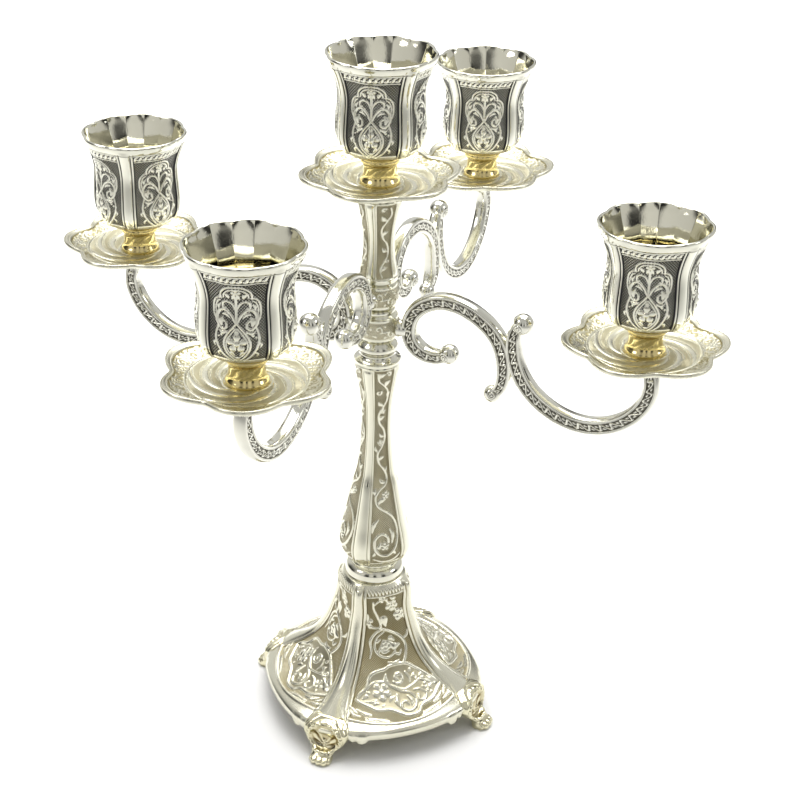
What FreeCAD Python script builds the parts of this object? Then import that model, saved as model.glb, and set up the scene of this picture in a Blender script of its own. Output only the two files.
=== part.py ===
import FreeCAD, Part
import math
import os

# Five-light tabletop candelabra.  Millimetres, +Z up, origin on the table
# under the column axis.  The four feet and the four arms lie on the X and Y
# axes; the lower hub carries the +X / -X arms, the upper hub the -Y / +Y arms.

V = FreeCAD.Vector

# ---------------------------------------------------------------- dimensions
# base
SKIRT_Z0 = 14.0            # lower edge of the skirt
BASE_TOP_Z = 86.0          # flat top of the base bell
BASE_WALL_R = 1.6          # horizontal wall offset
BASE_WALL_Z = 2.2          # vertical wall offset
# height, radius at the middle of a face, radius on a ridge
BASE_SECTIONS = [
    (14.0, 59.6, 63.4), (17.2, 60.0, 63.8), (20.0, 56.0, 60.0),
    (24.0, 48.5, 53.0), (30.0, 39.6, 43.6), (38.0, 31.0, 35.6),
    (48.0, 24.6, 29.6), (60.0, 20.8, 25.2), (72.0, 19.0, 22.4),
    (83.0, 18.6, 20.8), (86.0, 16.6, 18.4)]
FOOT_TIP_R = 73.4          # toe radius from the axis
# height, radial centre, radial half width, tangential half width
FOOT_SECTIONS = [
    (0.0, 68.0, 5.0, 5.8), (2.0, 67.6, 5.8, 6.2), (5.0, 66.2, 5.2, 6.2),
    (9.0, 63.0, 4.4, 8.6), (13.5, 61.0, 5.0, 11.6), (18.0, 60.2, 5.4, 12.0),
    (21.0, 58.4, 4.6, 9.4)]
# collar and column: (height, radius)
COLLAR_PROFILE = [
    (86.0, 14.2), (87.2, 15.2), (89.2, 15.5), (91.2, 14.8), (92.4, 13.4),
    (93.9, 12.8)]
COLUMN_PROFILE = [
    (93.9, 13.0), (96.5, 14.8), (99.9, 17.2), (104.0, 19.0), (107.6, 19.6),
    (111.5, 19.2), (120.0, 17.3), (129.0, 15.4), (138.0, 13.5),
    (146.0, 11.7), (150.0, 10.6), (156.0, 9.6), (163.0, 8.9), (176.7, 8.0),
    (185.0, 8.0), (193.0, 8.4), (204.0, 10.0), (213.0, 11.6), (219.5, 12.4)]
NECK_PROFILE = [
    (219.5, 11.4), (221.0, 9.4), (222.6, 8.8), (224.0, 9.6), (225.8, 10.8),
    (227.6, 10.8), (229.2, 9.8), (230.5, 8.6)]
COLUMN_BORE_R = 3.6
# hubs
LOW_HUB_Z = 238.6          # centre height of the lower ball
LOW_HUB_R = 11.6
UP_HUB_Z = 256.6           # centre height of the upper ball
UP_HUB_R = 10.9
HUB_HALF_H = 7.8           # the balls are cut flat above and below
HUB_GAP = 0.3              # axial play at each turning face
SPACER_R = 8.8
ROD_R = 3.0                # tie rod
ROD_RUN = 0.06             # running clearance of the hubs on the rod
ROD_Z0 = 70.0
ROD_Z1 = 300.0
# upper stem: (height, radius)
STEM_PROFILE = [
    (264.7, 9.9), (267.0, 9.8), (272.0, 9.0), (279.0, 8.1), (285.0, 7.9),
    (292.0, 8.4), (300.0, 9.8), (306.0, 11.0), (310.0, 11.6), (312.6, 11.2),
    (314.4, 9.6), (315.6, 8.6)]
# arms, in the arm's own plane: (distance from the axis, height above hub)
ARM_R = 142.6              # axis of a side light
BAR_W = 7.8                # bar, measured in the arm's plane
BAR_T = 6.4                # bar, across the arm's plane
BALL_IN_R = 4.9
BALL_MID_R = 4.2
BALL_OUT_R = 5.0
INNER_LINE = [
    (40.6, -9.0), (36.6, -11.0), (31.6, -11.8), (26.2, -10.9), (21.4, -7.6),
    (18.6, -1.8), (18.7, 5.0), (21.4, 11.4), (26.8, 16.6), (33.8, 19.7),
    (41.4, 20.3), (49.3, 18.6), (56.7, 15.0), (63.0, 10.2), (67.6, 4.1),
    (70.3, -2.9), (71.3, -10.3), (70.8, -17.1), (68.4, -23.0), (65.0, -26.2)]
OUTER_LINE = [
    (79.6, 16.4), (77.0, 13.6), (75.7, 9.6), (75.6, 3.0), (77.4, -5.6),
    (81.2, -14.1), (87.1, -21.3), (95.0, -27.0), (104.1, -30.8),
    (113.7, -32.2), (123.1, -31.0), (132.2, -27.0), (140.3, -20.2),
    (145.4, -12.6), (147.7, -5.2), (147.4, 1.6), (145.2, 7.0)]
STUB_R = 3.6               # spigot that enters the hub
STUB_DEPTH = 4.2
TIP_H = 8.4                # boss under a side pan
# pan
PAN_LOBES = 6
PAN_T = 1.5
# height, lobe radius, dent radius
PAN_OUTER = [(0.0, 12.5, 12.5), (1.0, 24.0, 23.6), (3.2, 35.6, 32.2),
             (5.6, 41.0, 35.8)]
PAN_INNER = [(1.5, 11.5, 11.5), (2.5, 23.0, 22.6), (4.8, 34.4, 31.0),
             (7.2, 39.9, 34.7)]
# cup: foot, bowl.  Heights are above the foot's seat on the pan.
CUP_FOOT = [(0.0, 9.9), (1.6, 9.9), (2.8, 9.0), (5.2, 8.6), (8.0, 8.9),
            (9.2, 9.9), (10.8, 10.2), (12.2, 9.6), (13.4, 9.8), (15.0, 10.9)]
CUP_FLOOR_Z = 15.0
CUP_TOP_Z = 67.0
CUP_WALL = 1.5
# height, lobe radius, dent radius
CUP_OUTER = [(15.0, 12.4, 12.4), (17.2, 17.0, 16.8), (20.6, 20.6, 20.1),
             (26.0, 22.6, 21.9), (33.0, 22.8, 22.0), (41.0, 22.3, 21.4),
             (48.0, 22.1, 21.1), (54.0, 22.9, 21.6), (60.0, 25.0, 23.2),
             (64.2, 27.3, 25.0), (67.0, 28.0, 25.6)]
CUP_INNER = [(17.0, 12.6, 12.4), (19.2, 16.2, 16.0), (22.6, 19.0, 18.6),
             (28.0, 20.9, 20.3), (34.0, 21.2, 20.5), (41.0, 20.8, 19.9),
             (48.0, 20.6, 19.6), (54.0, 21.4, 20.1), (60.0, 23.5, 21.7),
             (64.2, 25.8, 23.5), (68.0, 26.9, 24.4)]
SCREW_R = 2.0
SCREW_RUN = 0.06
SCREW_DEPTH = 6.0
HEAD_R = 5.0               # slotted screw head
HEAD_Z0 = 15.8             # its underside, above the foot's seat
PAN_GAP = 0.3              # axial play under each pan

# seat heights of the cup feet and the turn of each cup and pan at rest
LOW_SEAT_Z = 254.3
UP_SEAT_Z = LOW_SEAT_Z + (UP_HUB_Z - LOW_HUB_Z)
CENTRE_SEAT_Z = 317.4
LIGHTS = {
    # name: (x, y, seat height, cup turn, pan turn)
    "centre": (0.0, 0.0, CENTRE_SEAT_Z, 12.0, 37.0),
    "right": (ARM_R, 0.0, LOW_SEAT_Z, 12.8, 25.0),
    "left": (-ARM_R, 0.0, LOW_SEAT_Z, -25.7, 25.0),
    "front": (0.0, -ARM_R, UP_SEAT_Z, 18.0, 55.0),
    "back": (0.0, ARM_R, UP_SEAT_Z, 21.3, 25.0),
}
ARMS = {
    # name: (turn about the axis, hub centre height)
    "right": (0.0, LOW_HUB_Z),
    "left": (180.0, LOW_HUB_Z),
    "front": (-90.0, UP_HUB_Z),
    "back": (90.0, UP_HUB_Z),
}

os.makedirs("parts", exist_ok=True)
AX = V(0, 0, 1)
O = V(0, 0, 0)


def save(name, shape):
    shape.exportStep("parts/%s.step" % name)
    print("%-26s solids %d  volume %.1f  valid %s" % (
        name, len(shape.Solids), shape.Volume, shape.isValid()))


def turned(profile, bore=0.0):
    """Solid of revolution from (height, radius) pairs, smooth on the outside."""
    z0, r0 = profile[0]
    z1, r1 = profile[-1]
    c = Part.BSplineCurve()
    c.interpolate([V(r, 0, z) for z, r in profile])
    edges = [c.toShape(),
             Part.LineSegment(V(r1, 0, z1), V(bore, 0, z1)).toShape(),
             Part.LineSegment(V(bore, 0, z1), V(bore, 0, z0)).toShape(),
             Part.LineSegment(V(bore, 0, z0), V(r0, 0, z0)).toShape()]
    face = Part.Face(Part.Wire(edges))
    return face.revolve(O, AX, 360)


def polar_wire(z, fn, n):
    pts = []
    for i in range(n):
        a = 2 * math.pi * i / n
        r = fn(a)
        pts.append(V(r * math.cos(a), r * math.sin(a), z))
    c = Part.BSplineCurve()
    c.interpolate(pts, PeriodicFlag=True)
    return Part.Wire(c.toShape())


def lobed(z, r_lobe, r_dent, lobes, n):
    def fn(a):
        k = abs(math.cos(lobes * a / 2.0)) ** 0.9
        return r_dent + (r_lobe - r_dent) * k
    return polar_wire(z, fn, n)


def loft(wires):
    s = Part.makeLoft(wires, True, False)
    if s.Volume < 0:
        s.reverse()
    return s


def spline_edge(pts):
    c = Part.BSplineCurve()
    c.interpolate(pts)
    return c.toShape()


def dense_line(pts, n):
    c = Part.BSplineCurve()
    c.interpolate([V(x, 0, z) for x, z in pts])
    out = []
    for i in range(n):
        t = c.FirstParameter + (c.LastParameter - c.FirstParameter) * i / (n - 1)
        p = c.value(t)
        d = c.tangent(t)[0]
        out.append((p, V(-d.z, 0, d.x)))
    return out


def bar(pts, width, thick, n=26):
    """Flat bar that follows a plane curve; width(t) for t from 0 to 1."""
    ln = dense_line(pts, n)
    a = []
    b = []
    for i, (p, nrm) in enumerate(ln):
        w = width(i / (n - 1.0)) / 2.0
        a.append(p + nrm * w)
        b.append(p - nrm * w)
    e = [spline_edge(a), Part.LineSegment(a[-1], b[-1]).toShape(),
         spline_edge(list(reversed(b))),
         Part.LineSegment(b[0], a[0]).toShape()]
    f = Part.Face(Part.Wire(e))
    f.translate(V(0, -thick / 2.0, 0))
    return f.extrude(V(0, thick, 0))


def turn(shape, deg, dz=0.0, dx=0.0, dy=0.0):
    s = shape.copy()
    s.rotate(O, AX, deg)
    s.translate(V(dx, dy, dz))
    return s


# ---------------------------------------------------------------- base
def base_wire(z, rf, rd):
    return polar_wire(z, lambda a: rf + (rd - rf) * math.cos(2 * a) ** 2, 32)


outer = loft([base_wire(z, rf, rd) for z, rf, rd in BASE_SECTIONS])
inner_sections = [(SKIRT_Z0 - 1.0, BASE_SECTIONS[0][1] - BASE_WALL_R,
                   BASE_SECTIONS[0][2] - BASE_WALL_R)]
for z, rf, rd in BASE_SECTIONS[1:-1]:
    inner_sections.append((z - BASE_WALL_Z, rf - BASE_WALL_R, rd - BASE_WALL_R))
inner = loft([base_wire(*s) for s in inner_sections])
shell = outer.cut(inner)
shell = shell.cut(Part.makeCylinder(COLUMN_BORE_R, 20, V(0, 0, 75)))
save("base_shell", shell)
UNDER_TOP = BASE_SECTIONS[-2][0] - BASE_WALL_Z      # underside of the bell's crown

feet = []
for k in range(4):
    ws = []
    for z, rc, ra, rb in FOOT_SECTIONS:
        el = Part.Ellipse(V(rc, 0, z), max(ra, rb), min(ra, rb))
        if rb > ra:
            el.rotate(FreeCAD.Placement(V(0, 0, 0), FreeCAD.Rotation(AX, 90),
                                        V(rc, 0, z)))
        ws.append(Part.Wire(el.toShape()))
    f = loft(ws)
    f = turn(f, 90.0 * k).cut(shell)
    sol = sorted(f.Solids, key=lambda s: -s.Volume)
    feet.append(sol[0])
save("paw_feet", Part.makeCompound(feet))

save("base_collar", turned(COLLAR_PROFILE, COLUMN_BORE_R))
save("lower_column", turned(COLUMN_PROFILE, COLUMN_BORE_R))
save("column_neck", turned(NECK_PROFILE, COLUMN_BORE_R))

washer = Part.makeCylinder(12.0, 1.6, V(0, 0, UNDER_TOP - 1.6)).cut(
    Part.makeCylinder(ROD_R + 0.3, 4, V(0, 0, UNDER_TOP - 3)))
save("base_washer", washer)
nut_z = UNDER_TOP - 1.6 - 5.0
hexa = [V(6.0 * math.cos(math.radians(60 * i)), 6.0 * math.sin(math.radians(60 * i)),
          nut_z) for i in range(7)]
nut = Part.Face(Part.makePolygon(hexa)).extrude(V(0, 0, 5.0))
nut = nut.cut(Part.makeCylinder(ROD_R + 0.02, 8, V(0, 0, nut_z - 1)))
save("base_nut", nut)
save("tie_rod", Part.makeCylinder(ROD_R, ROD_Z1 - ROD_Z0, V(0, 0, ROD_Z0)))

# ---------------------------------------------------------------- hubs
def hub(zc, r, turn_deg):
    s = Part.makeSphere(r, V(0, 0, zc))
    s = s.common(Part.makeCylinder(r + 2, 2 * HUB_HALF_H,
                                   V(0, 0, zc - HUB_HALF_H)))
    s = s.cut(Part.makeCylinder(ROD_R + ROD_RUN, 4 * r, V(0, 0, zc - 2 * r)))
    for k in (0, 180):
        c = Part.makeCylinder(STUB_R, STUB_DEPTH + 6, V(r - STUB_DEPTH, 0, zc),
                              V(1, 0, 0))
        s = s.cut(turn(c, turn_deg + k))
    return s


save("lower_hub", hub(LOW_HUB_Z, LOW_HUB_R, 0))
save("upper_hub", hub(UP_HUB_Z, UP_HUB_R, 90))
sp0 = LOW_HUB_Z + HUB_HALF_H + HUB_GAP
sp1 = UP_HUB_Z - HUB_HALF_H - HUB_GAP
save("hub_spacer", Part.makeCylinder(SPACER_R, sp1 - sp0, V(0, 0, sp0)).cut(
    Part.makeCylinder(ROD_R + 0.02, 10, V(0, 0, sp0 - 2))))

stem = turned(STEM_PROFILE, 0.0)
stem = stem.cut(Part.makeCylinder(ROD_R + 0.02, ROD_Z1 - 260.0, V(0, 0, 260.0)))
stem_top = STEM_PROFILE[-1][0]
stem = stem.cut(Part.makeCylinder(SCREW_R + SCREW_RUN, SCREW_DEPTH + 1.0,
                                  V(0, 0, stem_top - SCREW_DEPTH - 1.0)))
save("upper_stem", stem)

# ---------------------------------------------------------------- arms
def inner_width(t):
    return BAR_W - 2.6 * max(0.0, 1 - t / 0.14) - 3.4 * max(0.0, (t - 0.86) / 0.14)


def outer_width(t):
    return BAR_W - 2.4 * max(0.0, 1 - t / 0.12) - 1.6 * max(0.0, (t - 0.9) / 0.1)


inner_bar = bar(INNER_LINE, inner_width, BAR_T)
inner_arm = inner_bar.fuse(Part.makeSphere(BALL_IN_R, V(INNER_LINE[0][0], 0,
                                                        INNER_LINE[0][1])))
inner_arm = inner_arm.fuse(Part.makeSphere(BALL_MID_R, V(INNER_LINE[-1][0], 0,
                                                         INNER_LINE[-1][1])))
STUB_X1 = 17.0
stub = {}
for hub_name, hub_r in (("low", LOW_HUB_R), ("up", UP_HUB_R)):
    x0 = hub_r - STUB_DEPTH
    stub[hub_name] = Part.makeCylinder(STUB_R, STUB_X1 - x0, V(x0, 0, 0), V(1, 0, 0))

outer_bar = bar(OUTER_LINE, outer_width, BAR_T)
outer_arm = outer_bar.fuse(Part.makeSphere(BALL_OUT_R, V(OUTER_LINE[0][0], 0,
                                                         OUTER_LINE[0][1])))
outer_arm = outer_arm.cut(inner_arm)

TIP_TOP = LOW_SEAT_Z - LOW_HUB_Z - PAN_T - PAN_GAP      # above the hub centre
tip_prof = [(TIP_TOP - TIP_H, 4.6), (TIP_TOP - 6.6, 5.6), (TIP_TOP - 4.6, 5.2),
            (TIP_TOP - 2.4, 7.6), (TIP_TOP, 10.4)]
tip = turned(tip_prof, 0.0)
tip = tip.cut(Part.makeCylinder(SCREW_R + SCREW_RUN, SCREW_DEPTH + 1.0,
                                V(0, 0, TIP_TOP - SCREW_DEPTH - 1.0)))
tip.translate(V(ARM_R, 0, 0))
outer_arm = outer_arm.cut(Part.makeCylinder(5.7, 20, V(ARM_R, 0, TIP_TOP - TIP_H)))
outer_arm = sorted(outer_arm.Solids, key=lambda s: -s.Volume)[0]

for name, (deg, zc) in ARMS.items():
    kind = "low" if zc == LOW_HUB_Z else "up"
    a = inner_arm.fuse(stub[kind])
    save("inner_scroll_%s" % name, turn(a, deg, zc))
    save("outer_scroll_%s" % name, turn(outer_arm, deg, zc))
    save("arm_tip_%s" % name, turn(tip, deg, zc))

# ---------------------------------------------------------------- lights
pan = loft([lobed(z, a, b, PAN_LOBES, 36) for z, a, b in PAN_OUTER])
pan_in = loft([lobed(z, a, b, PAN_LOBES, 36) for z, a, b in PAN_INNER])
pan = pan.cut(pan_in)
pan = pan.cut(Part.makeCylinder(SCREW_R + 0.2, 10, V(0, 0, -5)))
pan.translate(V(0, 0, -PAN_T))

bowl = loft([lobed(z, a, b, 8, 32) for z, a, b in CUP_OUTER])
bowl_in = loft([lobed(z, a, b, 8, 32) for z, a, b in CUP_INNER])
bowl = bowl.cut(bowl_in)
bowl = bowl.cut(Part.makeCylinder(SCREW_R + 0.2, 10, V(0, 0, 10)))
bowl = bowl.cut(Part.makeCylinder(HEAD_R + 0.1, 4, V(0, 0, HEAD_Z0)))

foot = turned(CUP_FOOT, SCREW_R + 0.2)

# the head lies in a counterbore, just under the floor of the cup
screw = Part.makeCylinder(SCREW_R, PAN_T + PAN_GAP + SCREW_DEPTH + HEAD_Z0,
                          V(0, 0, -PAN_T - PAN_GAP - SCREW_DEPTH))
screw = screw.fuse(Part.makeCylinder(HEAD_R, 1.1, V(0, 0, HEAD_Z0)))
screw = screw.cut(Part.makeBox(1.2, 8.0, 1.0, V(-0.6, -4.0, HEAD_Z0 + 0.6)))

for name, (x, y, z, cup_turn, pan_turn) in LIGHTS.items():
    save("drip_pan_%s" % name, turn(pan, pan_turn, z, x, y))
    save("cup_bowl_%s" % name, turn(bowl, cup_turn, z, x, y))
    save("cup_foot_%s" % name, turn(foot, cup_turn, z, x, y))
    save("cup_screw_%s" % name, turn(screw, cup_turn, z, x, y))
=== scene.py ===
import bpy
import math
import numpy as np
from mathutils import Matrix, Vector

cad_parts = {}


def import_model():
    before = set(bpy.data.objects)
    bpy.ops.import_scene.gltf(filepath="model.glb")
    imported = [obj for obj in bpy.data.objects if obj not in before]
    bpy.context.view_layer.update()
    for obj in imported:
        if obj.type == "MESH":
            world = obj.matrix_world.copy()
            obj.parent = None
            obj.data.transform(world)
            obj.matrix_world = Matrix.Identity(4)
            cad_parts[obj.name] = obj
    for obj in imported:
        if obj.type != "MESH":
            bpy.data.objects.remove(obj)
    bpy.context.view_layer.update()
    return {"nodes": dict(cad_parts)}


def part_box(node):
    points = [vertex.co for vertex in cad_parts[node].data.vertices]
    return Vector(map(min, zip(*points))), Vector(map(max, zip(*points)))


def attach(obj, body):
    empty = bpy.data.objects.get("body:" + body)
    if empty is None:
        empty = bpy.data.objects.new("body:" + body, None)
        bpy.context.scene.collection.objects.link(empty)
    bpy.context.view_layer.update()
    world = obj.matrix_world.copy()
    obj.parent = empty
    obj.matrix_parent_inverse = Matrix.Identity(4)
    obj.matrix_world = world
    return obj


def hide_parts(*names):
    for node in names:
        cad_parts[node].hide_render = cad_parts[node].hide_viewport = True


# Five-light tabletop candelabra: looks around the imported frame.
# Lengths in this script are millimetres until they reach a mesh.
MM = 0.001
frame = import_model()
rng = np.random.default_rng(7)
pi = math.pi


# ------------------------------------------------------------ numbers shared with the frame
def seat_of(name):
    lo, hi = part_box("cup_foot_" + name)
    return ((lo.x + hi.x) / 2 / MM, (lo.y + hi.y) / 2 / MM, lo.z / MM)


LIGHTS = {n: seat_of(n) for n in ("centre", "right", "left", "front", "back")}
CUP_TURN = {"centre": 12.0, "right": 12.8, "left": -25.7, "front": 18.0, "back": 21.3}
PAN_TURN = {"centre": 37.0, "right": 25.0, "left": 25.0, "front": 55.0, "back": 25.0}
ARM_TURN = {"right": 0.0, "left": 180.0, "front": -90.0, "back": 90.0}


def mid_z(node):
    lo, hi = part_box(node)
    return (lo.z + hi.z) / 2 / MM


HUB_Z = {"lower": mid_z("lower_hub"), "upper": mid_z("upper_hub")}
ARM_HUB = {"right": "lower", "left": "lower", "front": "upper", "back": "upper"}


# ------------------------------------------------------------ curves
def spline(pts, n):
    """n points along a natural cubic through pts, even in arc length."""
    p = np.asarray(pts, float)
    d = np.maximum(np.linalg.norm(np.diff(p[:, :2], axis=0), axis=1), 1e-6)
    t = np.concatenate([[0], np.cumsum(d)])
    m = len(p)
    A = np.zeros((m, m))
    B = np.zeros_like(p)
    A[0, 0] = A[-1, -1] = 1
    for i in range(1, m - 1):
        A[i, i - 1], A[i, i], A[i, i + 1] = d[i - 1], 2 * (d[i - 1] + d[i]), d[i]
        B[i] = 6 * ((p[i + 1] - p[i]) / d[i] - (p[i] - p[i - 1]) / d[i - 1])
    M = np.linalg.solve(A, B)

    def at(s):
        i = np.clip(np.searchsorted(t, s, side="right") - 1, 0, m - 2)
        h, a, b = d[i][:, None], (t[i + 1] - s)[:, None], (s - t[i])[:, None]
        return (M[i] * a ** 3 + M[i + 1] * b ** 3) / (6 * h) + (
            p[i] / h - M[i] * h / 6) * a + (p[i + 1] / h - M[i + 1] * h / 6) * b

    q = at(np.linspace(0, t[-1], 600))
    arc = np.concatenate([[0], np.cumsum(np.linalg.norm(np.diff(q[:, :2], axis=0), axis=1))])
    s = np.interp(np.linspace(0, arc[-1], n), arc, np.linspace(0, t[-1], 600))
    return at(s)


def smooth(e0, e1, x):
    t = np.clip((x - e0) / (e1 - e0), 0, 1)
    return t * t * (3 - 2 * t)


def catmull(pts, w, step=0.45):
    p = np.asarray(pts, float)
    n = len(p)
    w = np.interp(np.linspace(0, 1, n), np.linspace(0, 1, np.size(w)), np.atleast_1d(w))
    if n < 3:
        return p, w
    q = np.vstack([2 * p[0] - p[1], p, 2 * p[-1] - p[-2]])
    out, ow = [], []
    for i in range(n - 1):
        a, b, c, d = q[i], q[i + 1], q[i + 2], q[i + 3]
        k = max(2, int(np.linalg.norm(c - b) / step))
        t = np.linspace(0, 1, k, endpoint=False)[:, None]
        out.append(0.5 * (2 * b + (c - a) * t + (2 * a - 5 * b + 4 * c - d) * t ** 2
                          + (3 * b - a - 3 * c + d) * t ** 3))
        ow.append(w[i] + (w[i + 1] - w[i]) * t[:, 0])
    out.append(p[-1:])
    ow.append(w[-1:])
    return np.vstack(out), np.concatenate(ow)


def relief(X, Y, strokes):
    """Height of the tallest stroke over each point. A stroke is (points, width or widths, height)."""
    X = np.asarray(X, float)
    H = np.zeros(X.size)
    x, y = X.ravel(), np.asarray(Y, float).ravel()
    for pts, w, h in strokes:
        p, r = catmull(pts, w)
        R = r.max()
        lo, hi = p.min(0) - R, p.max(0) + R
        idx = np.nonzero((x > lo[0]) & (x < hi[0]) & (y > lo[1]) & (y < hi[1]))[0]
        if not len(idx):
            continue
        px, py = x[idx], y[idx]
        best = np.zeros(len(idx))
        if len(p) == 1:
            q = ((px - p[0, 0]) ** 2 + (py - p[0, 1]) ** 2) / r[0] ** 2
            best = np.sqrt(np.clip(1 - q, 0, 1))
        else:
            for i in range(len(p) - 1):
                a, b = p[i], p[i + 1]
                d = b - a
                L = max(d @ d, 1e-9)
                t = np.clip(((px - a[0]) * d[0] + (py - a[1]) * d[1]) / L, 0, 1)
                rr = r[i] + (r[i + 1] - r[i]) * t
                q = ((px - a[0] - t * d[0]) ** 2 + (py - a[1] - t * d[1]) ** 2) / np.maximum(rr, 1e-3) ** 2
                v = np.sqrt(np.clip(1 - q, 0, 1)) * np.clip(0.45 + 0.55 * rr / R, 0, 1)
                best = np.maximum(best, v)
        H[idx] = np.maximum(H[idx], h * best)
    return H.reshape(X.shape)


def mirror(strokes, both=True):
    m = [([(-a, b) for a, b in pts], w, h) for pts, w, h in strokes]
    return strokes + m if both else m


def moved(strokes, dx=0.0, dy=0.0, deg=0.0, k=1.0, flip=False):
    c, s = math.cos(math.radians(deg)), math.sin(math.radians(deg))
    out = []
    for pts, w, h in strokes:
        q = []
        for a, b in pts:
            if flip:
                a = -a
            q.append((dx + k * (c * a - s * b), dy + k * (s * a + c * b)))
        out.append((q, [k * v for v in np.atleast_1d(w)], h))
    return out


def flower(cx, cy, R, n=5, h=0.42, turn=0.0, heart=True):
    out = []
    for i in range(n):
        a = turn + 2 * pi * i / n
        x0, y0 = cx + 0.42 * R * math.cos(a), cy + 0.42 * R * math.sin(a)
        x1, y1 = cx + 0.74 * R * math.cos(a), cy + 0.74 * R * math.sin(a)
        out.append(([(x0, y0), (x1, y1)], [0.2 * R, 0.36 * R], h))
    if heart:
        out.append(([(cx, cy)], 0.3 * R, h * 1.25))
    return out


def spiral(cx, cy, r0, r1, a0, a1, w, h, n=14):
    t = np.linspace(0, 1, n)
    r = r0 + (r1 - r0) * t
    a = np.radians(a0 + (a1 - a0) * t)
    return ([(cx + q * math.cos(b), cy + q * math.sin(b)) for q, b in zip(r, a)], w, h)


def leaf(x0, y0, x1, y1, w, h=0.38, bend=0.18):
    mx, my = (x0 + x1) / 2 - (y1 - y0) * bend, (y0 + y1) / 2 + (x1 - x0) * bend
    return ([(x0, y0), (mx, my), (x1, y1)], [0.25 * w, w, 0.15 * w], h)


# ------------------------------------------------------------ meshes
def normals_of(P, wrap_u, wrap_v=False):
    """Unit normals of a (nv, nu, 3) grid."""
    if wrap_u:
        du = np.roll(P, -1, 1) - np.roll(P, 1, 1)
    else:
        du = np.gradient(P, axis=1)
    dv = (np.roll(P, -1, 0) - np.roll(P, 1, 0)) if wrap_v else np.gradient(P, axis=0)
    n = np.cross(du, dv)
    ln = np.linalg.norm(n, axis=2, keepdims=True)
    return n / np.maximum(ln, 1e-12)


def displaced(P, H, wrap_u=True, wrap_v=False, out=1.0):
    n = normals_of(P, wrap_u, wrap_v)
    return P + n * (out * H)[..., None]


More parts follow.
